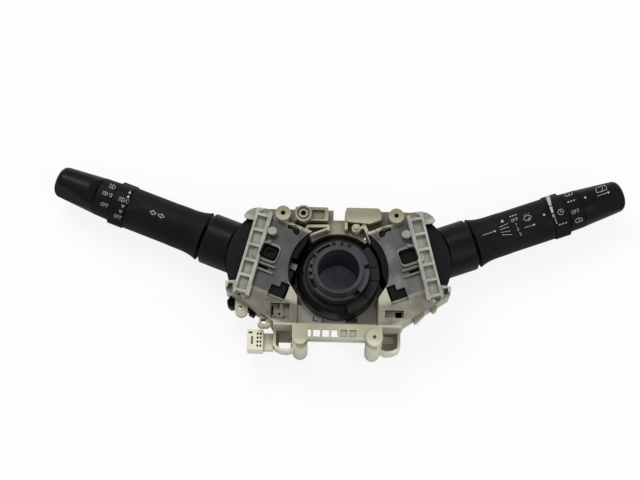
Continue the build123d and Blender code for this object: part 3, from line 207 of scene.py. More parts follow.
def rounded_normal(tree, radius):
    """The surface's normal as if its edges were rounded."""
    node = tree.nodes.new("ShaderNodeBevel")
    node.samples = BEVEL_SAMPLES
    node.inputs["Radius"].default_value = radius
    return node.outputs["Normal"]


def bump(tree, shader, height, strength, distance, edge=0.0):
    node = tree.nodes.new("ShaderNodeBump")
    node.inputs["Strength"].default_value = strength
    node.inputs["Distance"].default_value = distance
    tree.links.new(height, node.inputs["Height"])
    if edge:
        tree.links.new(rounded_normal(tree, edge), node.inputs["Normal"])
    tree.links.new(node.outputs["Normal"], shader.inputs["Normal"])


def cavity(tree, distance):
    """1 on open faces, falling towards 0 in narrow recesses."""
    node = tree.nodes.new("ShaderNodeAmbientOcclusion")
    node.samples = CAVITY_SAMPLES
    node.inputs["Distance"].default_value = distance
    return node.outputs["AO"]


def uneven_gloss(tree, shader, value, low, high):
    """Roughness that wanders from low to high with the value."""
    spread = product(tree, value, high - low)
    tree.links.new(math_node(tree, "ADD", spread, low), shader.inputs["Roughness"])


# ------------------------------------------------------------------ plain finishes
MOTTLE = 28.0                    # scale of the soft blotches in moulded plastic
CAVITY_REACH = 0.006             # painted shade darkens recesses narrower than about this


def plastic(name, dark, light, recess, rough=(0.35, 0.5), grain=1400.0, grain_depth=0.00002,
            edge=0.00025, specular=0.5):
    """Moulded plastic: mottled colour, painted shade in recesses, fine grain and softened edges."""
    material, tree, shader, place = new_material(name)
    blotches = noise(tree, place, MOTTLE, detail=4.0, roughness=0.6)
    base = ramp(tree, blotches, [(0.35, dark), (0.68, light)])
    if recess is not None:
        # painted shade: the ambient occlusion darkens recesses towards the recess colour
        shade = ramp(tree, cavity(tree, CAVITY_REACH), [(0.25, BLACK), (0.85, WHITE)])
        base = mix(tree, shade, recess, base)
    tree.links.new(base, shader.inputs["Base Color"])
    uneven_gloss(tree, shader, noise(tree, place, MOTTLE * 2.5), *rough)
    bump(tree, shader, noise(tree, place, grain, detail=2.0), strength=0.35, distance=grain_depth, edge=edge)
    shader.inputs["Specular IOR Level"].default_value = specular
    return material


def metal(name, dark, light, rough):
    material, tree, shader, place = new_material(name)
    tone = ramp(tree, noise(tree, place, 160.0, detail=4.0), [(0.3, dark), (0.7, light)])
    tree.links.new(tone, shader.inputs["Base Color"])
    shader.inputs["Metallic"].default_value = 1.0
    shader.inputs["Roughness"].default_value = rough
    bump(tree, shader, noise(tree, place, 900.0, detail=2.0), strength=0.25, distance=0.00002)
    return material


def print_ink():
    """White print, a little worn."""
    material, tree, shader, place = new_material("white print")
    tone = ramp(tree, noise(tree, place, 700.0), [(0.3, (0.30, 0.31, 0.30)), (0.7, (0.50, 0.51, 0.50))])
    tree.links.new(tone, shader.inputs["Base Color"])
    shader.inputs["Roughness"].default_value = 0.6
    bump(tree, shader, noise(tree, place, 3000.0, detail=2.0), strength=0.2, distance=0.00001)
    return material


# the third colour of each plastic is the painted shade of its recesses
connector_cream = plastic("connector cream", (0.62, 0.58, 0.43), (0.76, 0.73, 0.58), (0.22, 0.18, 0.10),
                          rough=(0.4, 0.6))
grained_black = plastic("grained black", (0.0048, 0.0046, 0.0043), (0.0085, 0.0080, 0.0075), None,
                        rough=(0.45, 0.62), grain=2600.0, grain_depth=0.00005, edge=0.0003, specular=0.085)
satin_black = plastic("satin black", (0.0042, 0.0043, 0.0045), (0.0072, 0.0072, 0.0075), None,
                      rough=(0.24, 0.40), grain=2600.0, grain_depth=0.00002, edge=0.0004, specular=0.09)
module_black = plastic("module black", (0.0045, 0.0045, 0.0052), (0.009, 0.0085, 0.0095),
                       (0.002, 0.002, 0.002), rough=(0.4, 0.6), specular=0.08)
hub_grey = plastic("hub grey", (0.015, 0.0145, 0.018), (0.042, 0.039, 0.050), (0.003, 0.003, 0.0035),
                   rough=(0.25, 0.4), specular=0.45)
hub_case = plastic("hub case", (0.005, 0.005, 0.006), (0.012, 0.0118, 0.0132), (0.002, 0.002, 0.0025),
                   rough=(0.3, 0.45), specular=0.2)
board_green = plastic("solder mask", (0.02, 0.10, 0.05), (0.03, 0.16, 0.08), (0.01, 0.04, 0.02),
                      rough=(0.25, 0.4))
brass = metal("tinned brass", (0.62, 0.52, 0.36), (0.78, 0.70, 0.52), 0.35)
steel = metal("zinc plated steel", (0.42, 0.42, 0.44), (0.62, 0.62, 0.64), 0.32)
ink = print_ink()

# ------------------------------------------------------------------ translucent nylon
# Its tone is painted by place: a thin panel shows what lies behind it, and painted shade and painted light
# stand in for shading in places. All sizes are metres.
FAR = 1.0                        # past every part of the object
CASE_HALF_WIDTH = 0.0243         # of a switch case, beside its stalk axis
CASE_INNER = -0.0085             # ends of a case, from its pivot
CASE_OUTER = 0.0395
PANEL_LEVEL = 0.0383             # the thin panels lie below this, their ribs above
PANEL_DEPTH = 0.004
LADDER_LEAN = math.radians(13.7)
LADDER_EDGE = 0.06374            # outer rail of a ladder, from the column axis across the ladder
LADDER_WIDTH = 0.0104
LADDER_PLAY = 0.0006             # past the outer rail
LADDER_FOOT = -0.019
LADDER_BACK = 0.030
BOSS_FOOT = 0.024                # over the cases, the ribs below this are dimmer than the bosses
LIGHTER_CORNER = 0.031           # the right panel is lighter from here to its lower outer corner
COMPARTMENT_END = 0.040          # far side of the lower compartment, beside the stalk axis
COMPARTMENT_TOP = -0.012
COMPARTMENT_FOOT = -0.0355
PILLAR_EDGE = 0.0265             # half the width of the recess under the hub
RECESS_FLOOR = 0.0135
TRAY_FOOT = -0.056               # the clip brackets beside the legs let light in
TRAY_TOP = -0.034
UPPER_EDGE = 0.038               # painted shade darkens and browns the upper plates, painted light makes the legs paler
LEG_TOP = -0.0475
ARCH_FOOT = 0.026                # painted shade darkens and browns the thin web behind the plates
ARCH_FRONT = 0.030
BROW_SIDE = 0.0205               # painted brown shade in the corner over the mouth of each pocket
BROW_REACH = 0.0235

PALE = [(0.30, (0.29, 0.262, 0.180)), (0.50, (0.395, 0.378, 0.270)), (0.72, (0.51, 0.505, 0.390))]
FROSTED = [(0.34, (0.20, 0.21, 0.175)), (0.52, (0.33, 0.34, 0.29)), (0.70, (0.47, 0.48, 0.42))]
RIB_OVER_CASE = [(0.35, (0.21, 0.22, 0.19)), (0.70, (0.38, 0.385, 0.34))]
PANEL_OVER_CASE = [(0.32, (0.040, 0.041, 0.040)), (0.50, (0.075, 0.078, 0.078)), (0.72, (0.16, 0.17, 0.165))]
COMPARTMENT = [(0.34, (0.13, 0.115, 0.082)), (0.66, (0.27, 0.26, 0.205))]
BROW_SHADE_DEEP = (0.12, 0.10, 0.072)
BROW_SHADE_PALE = (0.29, 0.262, 0.20)
THROUGH_FLOOR = (0.50, 0.49, 0.43)
EDGE_GLOW = [(0.70, (0.34, 0.34, 0.30)), (0.97, BLACK)]
# painted shade colour of the nylon's recesses
RECESS_SHADE_TINT = (0.40, 0.33, 0.26)
DIM_RIB_TINT = (0.50, 0.50, 0.48)
LEFT_PANEL_TINT = (0.50, 0.47, 0.43)
CORNER_TINT = (1.7, 1.7, 1.6)
LEFT_COMPARTMENT_TINT = (0.62, 0.60, 0.58)
UPPER_SHADE_TINT = (0.55, 0.52, 0.45)
ARCH_SHADE_TINT = (0.66, 0.63, 0.55)
LEG_LIGHT_TINT = (1.45, 1.50, 1.52)
GLOW_SHARE = 0.6                 # how much of the edge glow shows, and how much less over a case
GLOW_LOST = 0.45
GLOW_RADIUS = 0.0006             # how far the glow reaches in from an edge
NYLON_CAVITY_REACH = 0.007       # painted shade darkens recesses narrower than about this
LADDER_UNSHADED = 0.55              # share of the painted recess shade that the ladders are kept free of


def nylon_places(tree, place):
    """Masks, 1 inside and 0 outside, for the stretches of the nylon that differ in tone."""
    pivot = Vector(joints["right_wiper_select"]["pos_m"])
    beside = Vector(joints["right_contact_slide"]["axis"])
    outward = Vector((beside.y, -beside.x, 0))
    across_ladder = Vector((math.cos(LADDER_LEAN), math.sin(LADDER_LEAN), 0))
    split = tree.nodes.new("ShaderNodeSeparateXYZ")
    tree.links.new(place, split.inputs[0])
    x, y, z = split.outputs
    from_middle = math_node(tree, "ABSOLUTE", x, 0.0)
    plan = (from_middle, y)
    side = math_node(tree, "SUBTRACT", along(tree, plan, beside), pivot.dot(beside))
    reach = math_node(tree, "SUBTRACT", along(tree, plan, outward), pivot.dot(outward))
    across = math_node(tree, "SUBTRACT", along(tree, plan, across_ladder), LADDER_EDGE)
    thin = window(tree, z, PANEL_LEVEL - PANEL_DEPTH, PANEL_LEVEL, soft=0.0003)
    down_right = (math.sqrt(0.5), -math.sqrt(0.5))
    return {
        "thin": thin,
        "left": under(tree, x, 0.0),
        "low": under(tree, y, BOSS_FOOT),
        "low_right": window(tree, along(tree, (x, y), down_right), LIGHTER_CORNER, FAR, soft=0.004),
        "over_case": product(tree, window(tree, side, -CASE_HALF_WIDTH, CASE_HALF_WIDTH, soft=0.0012),
                             window(tree, reach, CASE_INNER, CASE_OUTER, soft=0.0015)),
        "compartment": product(tree, window(tree, side, -COMPARTMENT_END, -CASE_HALF_WIDTH, soft=0.002), thin,
                               under(tree, y, COMPARTMENT_TOP), over(tree, y, COMPARTMENT_FOOT),
                               over(tree, from_middle, PILLAR_EDGE)),
        "upper": window(tree, y, UPPER_EDGE, FAR, soft=0.004),
        "arch": product(tree, window(tree, y, ARCH_FOOT, FAR, soft=0.002), under(tree, z, ARCH_FRONT)),
        "leg": window(tree, y, -FAR, LEG_TOP, soft=0.003),
        "brow": product(tree, window(tree, side, BROW_SIDE, FAR, soft=0.001),
                        window(tree, reach, BROW_REACH, FAR, soft=0.001)),
        "ladder": product(tree, window(tree, across, -LADDER_WIDTH, LADDER_PLAY, soft=0.0004),
                          window(tree, z, LADDER_BACK, FAR, soft=0.002),
                          window(tree, y, LADDER_FOOT, FAR, soft=0.001)),
        "tray": product(tree, window(tree, y, TRAY_FOOT, TRAY_TOP, soft=0.002),
                        over(tree, from_middle, PILLAR_EDGE)),
        "recess": product(tree, under(tree, z, RECESS_FLOOR), under(tree, from_middle, PILLAR_EDGE),
                          window(tree, y, COMPARTMENT_FOOT, 0.0, soft=0.001))}


def nylon_colour(tree, place, masks):
    """Colour of the nylon by place, before the painted recess shade and the painted edge glow."""
    cloud = noise(tree, place, 55.0, detail=5.0, roughness=0.65)
    rib = tint(tree, masks["low"], ramp(tree, cloud, RIB_OVER_CASE), DIM_RIB_TINT)
    panel = tint(tree, masks["left"], ramp(tree, cloud, PANEL_OVER_CASE), LEFT_PANEL_TINT)
    panel = tint(tree, masks["low_right"], panel, CORNER_TINT)
    # the lower compartments show brown through their thin fronts, the left one more
    hollow = ramp(tree, noise(tree, place, 80.0, detail=4.0, roughness=0.6), COMPARTMENT)
    hollow = tint(tree, masks["left"], hollow, LEFT_COMPARTMENT_TINT)
    pale = ramp(tree, noise(tree, place, 24.0, detail=4.0, roughness=0.6), PALE)
    # painted shade on the upper plates and the web behind them, painted light on the legs
    for name, colour in (("upper", UPPER_SHADE_TINT), ("arch", ARCH_SHADE_TINT), ("leg", LEG_LIGHT_TINT)):
        pale = tint(tree, masks[name], pale, colour)
    base = mix(tree, masks["compartment"], pale, hollow)
    base = mix(tree, masks["over_case"], base, mix(tree, masks["thin"], rib, panel))
    # painted shade in the corner over the mouth of each pocket
    base = mix(tree, masks["brow"], base, mix(tree, cloud, BROW_SHADE_DEEP, BROW_SHADE_PALE))
    return mix(tree, masks["ladder"], base, ramp(tree, cloud, FROSTED))


def edge_glow(tree):
    """Light that gathers along the edges of translucent ribs."""
    turn = tree.nodes.new("ShaderNodeVectorMath")
    turn.operation = "DOT_PRODUCT"
    tree.links.new(rounded_normal(tree, GLOW_RADIUS), turn.inputs[0])
    tree.links.new(tree.nodes.new("ShaderNodeNewGeometry").outputs["Normal"], turn.inputs[1])
    return ramp(tree, turn.outputs["Value"], EDGE_GLOW)


def natural_nylon():
    """Thin translucent nylon: pale ribs and edges, dim where a black case lies behind it, with painted shade
    and painted light by place.
    """
    material, tree, shader, place = new_material("natural nylon")
    masks = nylon_places(tree, place)
    base = nylon_colour(tree, place, masks)
    # painted shade: ambient occlusion darkens and browns the nylon in recesses, less on the ladders and not
    # in the trays
    unshaded = ramp(tree, cavity(tree, NYLON_CAVITY_REACH), [(0.30, BLACK), (0.9, WHITE)])
    unshaded = math_node(tree, "MAXIMUM", unshaded, product(tree, masks["ladder"], LADDER_UNSHADED))
    unshaded = math_node(tree, "MAXIMUM", unshaded, masks["tray"])
    base = mix(tree, unshaded, mix(tree, 1.0, base, RECESS_SHADE_TINT, "MULTIPLY"), base)
    # light comes through the floor of the recess from behind
    base = mix(tree, masks["recess"], base, THROUGH_FLOOR)
    # edges glow less over a black case, apart from the ladders and the upper bosses
    dim = product(tree, masks["over_case"], masks["low"], math_node(tree, "SUBTRACT", 1.0, masks["ladder"]))
    share = math_node(tree, "SUBTRACT", GLOW_SHARE, product(tree, dim, GLOW_LOST))
    base = mix(tree, share, base, edge_glow(tree), "ADD")
    tree.links.new(base, shader.inputs["Base Color"])
    uneven_gloss(tree, shader, noise(tree, place, 70.0), low=0.30, high=0.55)
    bump(tree, shader, noise(tree, place, 500.0), strength=0.35, distance=0.00004, edge=0.0004)
    shader.inputs["Specular IOR Level"].default_value = 0.5
    shader.inputs["Subsurface Weight"].default_value = 0.15
    shader.inputs["Subsurface Radius"].default_value = (1.0, 0.9, 0.7)
    shader.inputs["Subsurface Scale"].default_value = 0.001
    return material


nylon = natural_nylon()

# ------------------------------------------------------------------ finish of each piece
finish_of_slot = {
    "natural_nylon": nylon, "connector_cream": connector_cream, "black_plastic": module_black,
    "satin_black": satin_black, "dark_grey_plastic": hub_grey, "circuit_board": board_green,
    "brass": brass, "steel": steel}
finish_of_node = {"sensor_case": hub_case}
for side in ("left", "right"):
    for name in ("lever", "index_ring", "rotary_ring"):
        finish_of_node[f"{side}_{name}"] = grained_black
for row in frame["record"]["subparts"]:
    node = nodes[row["node"]]
    material = finish_of_node.get(row["node"], finish_of_slot[row["material_slot"]])
    if node.data.materials:
        for index in range(len(node.data.materials)):
            node.data.materials[index] = material
    else:
        node.data.materials.append(material)

# ------------------------------------------------------------------ ink on curved faces
PROUD = 0.00005                  # thickness of the ink above the plastic
SUNK = 0.00004
STEP = 0.0005                    # longest straight run of ink on a curved face
ENLARGED = 8.2526                # this many units of a sheet of marks make one pixel of the picture
UNIT = 1 / ENLARGED
trees = {}


def tree_of(node_name):
    if node_name not in trees:
        mesh = nodes[node_name].data
        trees[node_name] = BVHTree.FromPolygons([v.co for v in mesh.vertices],
                                                [p.vertices[:] for p in mesh.polygons])
    return trees[node_name]


def seat(node_name, x, y):
    """Where the picture's point x, y meets the node, and the node's outward normal there."""
    place, normal, index, distance = tree_of(node_name).ray_cast(eye, sight(x, y))
    if place is None:
        place, normal, index, distance = tree_of(node_name).find_nearest(
            eye + sight(x, y) * DISTANCE)
    if normal.dot(to_camera) < 0:
        normal = -normal
    return place, normal


def steps_between(start, end):
    """How many pieces a line of a sheet is cut into so that none is longer than STEP."""
    return max(1, math.ceil((end - start).length * UNIT * pixel / STEP))


class Sheet:
    """Flat ink shapes in u and v, gathered as points of the picture and wrapped on one node."""

    def __init__(self, name, node_name, origin, turn):
        self.name = name
        self.node_name = node_name
        self.origin = origin
        self.cos = math.cos(math.radians(turn))
        self.sin = math.sin(math.radians(turn))
        self.points = []
        self.faces = []

    def place(self, u, v):
        """Picture point of u along the writing and v up from it."""
        return (self.origin[0] + (u * self.cos - v * self.sin) * UNIT,
                self.origin[1] - (u * self.sin + v * self.cos) * UNIT)

    def find(self, place):
        """The u and v of a point in the picture."""
        run = (place[0] - self.origin[0]) / UNIT
        rise = (self.origin[1] - place[1]) / UNIT
        return run * self.cos + rise * self.sin, rise * self.cos - run * self.sin

    def stroke(self, line, width, closed=False):
        """Line of the given width, cut into steps short enough to follow a curved face."""
        line = [Vector(p) for p in line]
        if closed:
            line.append(line[0])
        dense = [line[0]]
        for start, end in zip(line, line[1:]):
            count = steps_between(start, end)
            dense += [start.lerp(end, i / count) for i in range(1, count + 1)]
        first = len(self.points)
        total = len(dense)
        for i, point in enumerate(dense):
            before = dense[i - 1] if i else (dense[-2] if closed else point)
            after = dense[i + 1] if i + 1 < total else (dense[1] if closed else point)
            ahead = (after - before).normalized()
            aside = Vector((-ahead.y, ahead.x)) * width / 2
            self.points += [self.place(*(point + aside)), self.place(*(point - aside))]
        for i in range(total - 1):
            a = first + 2 * i
            self.faces.append((a, a + 1, a + 3, a + 2))

    def patch(self, corners):
        """Filled convex shape, as rings of faces about its middle."""
        corners = [Vector(p) for p in corners]
        middle = sum(corners, Vector((0, 0))) / len(corners)
        rings = max(steps_between(middle, corner) for corner in corners)
        rim = []
        for start, end in zip(corners, corners[1:] + corners[:1]):
            count = steps_between(start, end)
            rim += [start.lerp(end, i / count) for i in range(count)]
        first = len(self.points)
        self.points.append(self.place(*middle))
        for ring in range(1, rings + 1):
            self.points += [self.place(*middle.lerp(p, ring / rings)) for p in rim]
        total = len(rim)
        for i in range(total):
            j = (i + 1) % total
            self.faces.append((first, first + 1 + i, first + 1 + j))
            for ring in range(rings - 1):
                a = first + 1 + ring * total
                self.faces.append((a + i, a + total + i, a + total + j, a + j))

    def finish(self):
        """Make the closed mesh of the ink and let it ride on its node's body."""
        top = []
        bottom = []
        for x, y in self.points:
            spot, normal = seat(self.node_name, x, y)
            top.append(spot + normal * PROUD)
            bottom.append(spot - normal * SUNK)
        count = len(top)
        edges = {(a, b) for face in self.faces for a, b in zip(face, face[1:] + face[:1])}
        faces = self.faces + [tuple(i + count for i in reversed(face)) for face in self.faces]
        # walls close the rim, where an edge belongs to one face only
        faces += [(b, a, a + count, b + count) for a, b in sorted(edges) if (b, a) not in edges]
        mesh = bpy.data.meshes.new(self.name)
        mesh.from_pydata(top + bottom, [], faces)
        mesh.validate()
        mesh.materials.append(ink)
        piece = bpy.data.objects.new(self.name, mesh)
        bpy.context.collection.objects.link(piece)
        # normals point out of the ink
        if sum(p.normal.dot(to_camera) for p in mesh.polygons[:len(self.faces)]) < 0:
            mesh.flip_normals()
        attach(piece, body_of_node[self.node_name])


# ------------------------------------------------------------------ signs and lettering
LINE = 3.4                       # width of the thin lines of a sign
HEAD_LENGTH = 18                 # of a solid arrow's head, and how far its shaft reaches in
HEAD_OVERLAP = 4
HEAD_HALF_WIDTH = 10
DASH_SHARE = 0.3                 # half a dash, of the distance from dash to dash
DASH_HALF_WIDTH = 4
DOT_RADIUS = 9
LETTER_GAP = 0.12                # between letters, of their height
LETTER_WEIGHT = 0.10


def arc(cx, cy, rx, ry, start, end, count=16):
    return [(cx + rx * math.cos(math.radians(start + (end - start) * i / count)),
             cy + ry * math.sin(math.radians(start + (end - start) * i / count)))
            for i in range(count + 1)]


# each letter: its width and its strokes, in a box one unit high
GLYPHS = {
    "O": (0.80, [arc(0.38, 0.5, 0.34, 0.46, 0, 360, 20)]),
    "F": (0.66, [[(0.08, 0), (0.08, 1)], [(0.08, 0.95), (0.60, 0.95)], [(0.08, 0.52), (0.50, 0.52)]]),
    "1": (0.50, [[(0.10, 0.78), (0.30, 0.97)], [(0.32, 1), (0.32, 0)]]),
    "2": (0.66, [arc(0.32, 0.72, 0.25, 0.25, 160, -35, 10) + [(0.08, 0.06)], [(0.06, 0.05), (0.60, 0.05)]]),
    "3": (0.66, [arc(0.30, 0.74, 0.25, 0.23, 150, -80, 10), arc(0.30, 0.27, 0.27, 0.25, 80, -150, 10)]),
}


def write(sheet, text, u, v, size):
    """Centred lettering of the given height."""
    widths = [GLYPHS[letter][0] for letter in text]
    x = u - (sum(widths) + LETTER_GAP * (len(text) - 1)) * size / 2
    for letter, width in zip(text, widths):
        for line in GLYPHS[letter][1]:
            sheet.stroke([(x + a * size, v - size / 2 + b * size) for a, b in line], LETTER_WEIGHT * size)
        x += (width + LETTER_GAP) * size


def triangle(u, v, width, height):
    """Corners of a triangle on a base whose middle is u, v."""
    return [(u - width / 2, v), (u + width / 2, v), (u, v + height)]


def headlamp(sheet, u, v, size, facing=1):
    """Lamp outline with rays, as on any light switch."""
    sheet.stroke([(u, v + size * 0.42), (u, v - size * 0.42)], LINE)
    sheet.stroke([(u + facing * a, b) for a, b in arc(0, v, size * 0.55, size * 0.42, 90, -90, 12)], LINE)
    for level in (0.34, 0.0, -0.34):
        start = v + size * level
        sheet.stroke([(u - facing * size * 0.20, start),
                      (u - facing * size * 0.72, start - size * 0.08)], LINE)


def hollow_arrow(sheet, u, v, size, facing):
    half = [(-0.9, 0), (0, 0.62), (0, 0.27), (0.75, 0.27)]
    outline = half + [(a, -b) for a, b in reversed(half[1:])]
    sheet.stroke([(u + a * facing * size, v + b * size) for a, b in outline], 1.2 * LINE, closed=True)


def solid_arrow(sheet, u, v, length):
    tip = u + length / 2
    neck = tip - HEAD_LENGTH
    sheet.stroke([(u - length / 2, v), (neck + HEAD_OVERLAP, v)], LINE)
    sheet.patch([(neck, v + HEAD_HALF_WIDTH), (neck, v - HEAD_HALF_WIDTH), (tip, v)])


def windscreen(sheet, u, v, size):
    """Curved screen outline with a wiper arm and spray."""
    top = arc(u, v - size * 0.75, size * 1.05, size * 1.25, 138, 42, 12)
    bottom = arc(u, v - size * 0.80, size * 0.45, size * 0.50, 42, 138, 8)
    sheet.stroke(top + bottom, LINE, closed=True)
    sheet.stroke([(u, v - size * 0.62), (u + size * 0.32, v + size * 0.10)], LINE)
    for k in (-0.45, 0.0, 0.45):
        sheet.stroke([(u + k * size * 0.8, v + size * 0.62), (u + k * size * 1.1, v + size * 0.84)], LINE)


def rear_window(sheet, u, v, width, spray=False):
    """Rounded window outline with a wiper arm."""
    w = width / 2
    h = width * 0.23
    sheet.stroke([(u - w, v + h * 0.5), (u - w * 0.8, v + h), (u + w * 0.8, v + h), (u + w, v + h * 0.5),
                  (u + w, v - h), (u - w, v - h)], LINE, closed=True)
    sheet.stroke([(u - w * 0.1, v - h * 1.3), (u + w * 0.35, v + h * 0.4)], LINE)
    if spray:
        sheet.stroke([(u, v + h), (u, v + h * 1.8)], LINE)


def clock(sheet, u, v, size):
    """Dial with two hands, for the pause between wipes."""
    sheet.stroke(arc(u, v, size / 2, size / 2, 0, 345, 23), LINE, closed=True)
    sheet.stroke([(u, v), (u, v + size * 0.36)], LINE)
    sheet.stroke([(u, v), (u + size * 0.24, v - size * 0.10)], LINE)


def dashes(sheet, u, v, size):
    """Three short strokes, for wiping now and then."""
    half = size * DASH_SHARE
    for middle in (u - size, u, u + size):
        sheet.patch([(middle - half, v - DASH_HALF_WIDTH), (middle + half, v - DASH_HALF_WIDTH),
                     (middle + half, v + DASH_HALF_WIDTH), (middle - half, v + DASH_HALF_WIDTH)])


# ------------------------------------------------------------------ marks on the stalks
# Places of the marks, each stalk measured on a view enlarged ENLARGED times from its corner of the picture.
LEFT_CORNER = (50, 160)
LEFT_TURN = -22.0                # direction of the writing on each stalk, in degrees
LEFT_PLACES = {
    "lamp_sheet": (466, 285), "main_lamp": (517, 219), "side_lamp": (458, 275), "rear_lamp": (510, 293),
    "lamps_off": (451, 371), "fog_sheet": (620, 335), "turn_sheet": (884, 448)}
RIGHT_CORNER = (450, 170)
RIGHT_TURN = 18.5
RIGHT_PLACES = {
    "wiper_sheet": (520, 440), "single_wipe": (430, 420), "pause": (520, 377), "wiper_off": (533, 411),
    "speed_1": (545, 452), "speed_2": (562, 488), "speed_3": (580, 528), "screen": (640, 397),
    "wash_arrow": (660, 462), "pull_arrow": (325, 520), "lever_dot": (777, 370),
    "corner": (0, 0), "interval_sheet": (915, 350), "interval_dashes": (932, 443),
    "rear_sheet": (1035, 345), "rear_wash": (978, 197), "rear_pause": (1000, 257),
    "rear_off": (1037, 341), "rear_wipe": (1064, 414),
    "knob_sheet": (1260, 190), "knob_window": (1247, 156), "knob_arrow": (1268, 198),
    "knob_pointer": (1113, 228)}
HATCHING = (                     # ends of the strokes beside the wiper speeds
    ((408, 473), (476, 441)),
    ((415, 493), (488, 468)),
    ((422, 515), (500, 503)),
    ((430, 535), (512, 533)))
INTERVAL_SCALE = (               # a band that narrows in steps, from the longest pause to the shortest
    ((786, 214), (822, 209), (838, 290), (818, 297)),
    ((820, 306), (842, 300), (855, 350), (838, 357)),
    ((842, 369), (862, 364), (864, 374), (845, 379)),
    ((846, 384), (865, 380), (867, 388), (849, 392)))
SCALE_DOTS = ((868, 405), (874, 421), (880, 437))


def in_picture(corner, place):
    """Picture point of a place measured on the enlarged view."""
    return corner[0] + place[0] / ENLARGED, corner[1] + place[1] / ENLARGED


def mark_left_stalk():
    spots = {name: in_picture(LEFT_CORNER, place) for name, place in LEFT_PLACES.items()}
    sheet = Sheet("left_lamp_marks", "left_index_ring", spots["lamp_sheet"], LEFT_TURN)
    headlamp(sheet, *sheet.find(spots["main_lamp"]), 40)
    headlamp(sheet, *sheet.find(spots["side_lamp"]), 34)
    headlamp(sheet, *sheet.find(spots["rear_lamp"]), 34, facing=-1)
    write(sheet, "OFF", *sheet.find(spots["lamps_off"]), 29)
    sheet.finish()

    sheet = Sheet("left_fog_marks", "left_rotary_ring", spots["fog_sheet"], LEFT_TURN)
    sheet.patch(triangle(11, 68, 24, 22))
    sheet.patch(triangle(12, 30, 26, 24))
    headlamp(sheet, -26, 0, 40)
    headlamp(sheet, 30, 0, 40, facing=-1)
    sheet.stroke(triangle(0, -42, 26, -20), LINE, closed=True)
    sheet.stroke(triangle(-2, -90, 26, -20), LINE, closed=True)
    write(sheet, "OFF", -7, -146, 28)
    sheet.finish()

    sheet = Sheet("left_turn_arrows", "left_lever", spots["turn_sheet"], LEFT_TURN)
    hollow_arrow(sheet, -35, 0, 31, 1)
    hollow_arrow(sheet, 35, 0, 31, -1)
    sheet.finish()


def mark_right_lever(spots):
    sheet = Sheet("right_wiper_marks", "right_lever", spots["wiper_sheet"], RIGHT_TURN)
    for ends in HATCHING:
        sheet.stroke([sheet.find(in_picture(RIGHT_CORNER, end)) for end in ends], LINE)
    u, v = sheet.find(spots["single_wipe"])
    sheet.patch(triangle(u, v - 10, 28, 23))
    dashes(sheet, *sheet.find(spots["pause"]), 24)
    for text, spot in (("OFF", "wiper_off"), ("1", "speed_1"), ("2", "speed_2"), ("3", "speed_3")):
        write(sheet, text, *sheet.find(spots[spot]), 26)
    windscreen(sheet, *sheet.find(spots["screen"]), 44)
    solid_arrow(sheet, *sheet.find(spots["wash_arrow"]), 96)
    solid_arrow(sheet, *sheet.find(spots["pull_arrow"]), 120)
    sheet.finish()

    sheet = Sheet("right_lever_dot", "right_lever", spots["lever_dot"], RIGHT_TURN)
    sheet.patch(arc(0, 0, DOT_RADIUS, DOT_RADIUS, 0, 330, 11))
    sheet.finish()


def mark_right_ring(spots):
    sheet = Sheet("right_interval_marks", "right_rotary_ring", spots["corner"], 0.0)
    for corners in INTERVAL_SCALE:
        sheet.patch([(x, -y) for x, y in corners])
    for x, y in SCALE_DOTS:
        sheet.patch([(x - 5, 4 - y), (x + 5, 5 - y), (x + 6, -4 - y), (x - 4, -5 - y)])
    sheet.finish()

    sheet = Sheet("right_interval_numbers", "right_rotary_ring", spots["interval_sheet"], RIGHT_TURN)
    clock(sheet, 0, 4, 46)
    dashes(sheet, *sheet.find(spots["interval_dashes"]), 26)
    sheet.finish()


def mark_right_end(spots):
    sheet = Sheet("right_index_marks", "right_index_ring", spots["rear_sheet"], RIGHT_TURN)
    rear_window(sheet, *sheet.find(spots["rear_wash"]), 58, spray=True)
    dashes(sheet, *sheet.find(spots["rear_pause"]), 24)
    write(sheet, "OFF", *sheet.find(spots["rear_off"]), 29)
    rear_window(sheet, *sheet.find(spots["rear_wipe"]), 58, spray=True)
    sheet.finish()

    sheet = Sheet("right_knob_marks", "right_knob", spots["knob_sheet"], RIGHT_TURN)
    rear_window(sheet, *sheet.find(spots["knob_window"]), 88)
    solid_arrow(sheet, *sheet.find(spots["knob_arrow"]), 110)
    u, v = sheet.find(spots["knob_pointer"])
    sheet.patch([(u + 9, v - 11), (u + 9, v + 11), (u - 11, v)])
    sheet.finish()


mark_left_stalk()
right_spots = {name: in_picture(RIGHT_CORNER, place) for name, place in RIGHT_PLACES.items()}
mark_right_lever(right_spots)
mark_right_ring(right_spots)
mark_right_end(right_spots)

# ------------------------------------------------------------------ light
WORLD_GREY = (0.58, 0.59, 0.60)
KEY_PLACE = (-0.35, 0.75, 1.15)
KEY_SIZE = (0.7, 0.5)
KEY_POWER = 9.0
KEY_COLOUR = (1.0, 0.985, 0.96)
FILL_PLACE = (0.8, -0.5, 0.9)
FILL_SIZE = (0.8, 0.8)
FILL_POWER = 3.5
FILL_COLOUR = (0.96, 0.98, 1.0)


def make_world():
    """Plain grey light, white where the camera sees it directly."""
    world = bpy.data.worlds.new("world")
    bpy.context.scene.world = world
    world.use_nodes = True
    tree = world.node_tree
    background = tree.nodes["Background"]
    path = tree.nodes.new("ShaderNodeLightPath")
    shown = math_node(tree, "MAXIMUM", path.outputs["Is Camera Ray"], path.outputs["Is Transmission Ray"])
    tree.links.new(mix(tree, shown, WORLD_GREY, WHITE), background.inputs["Color"])
    background.inputs["Strength"].default_value = 1.0


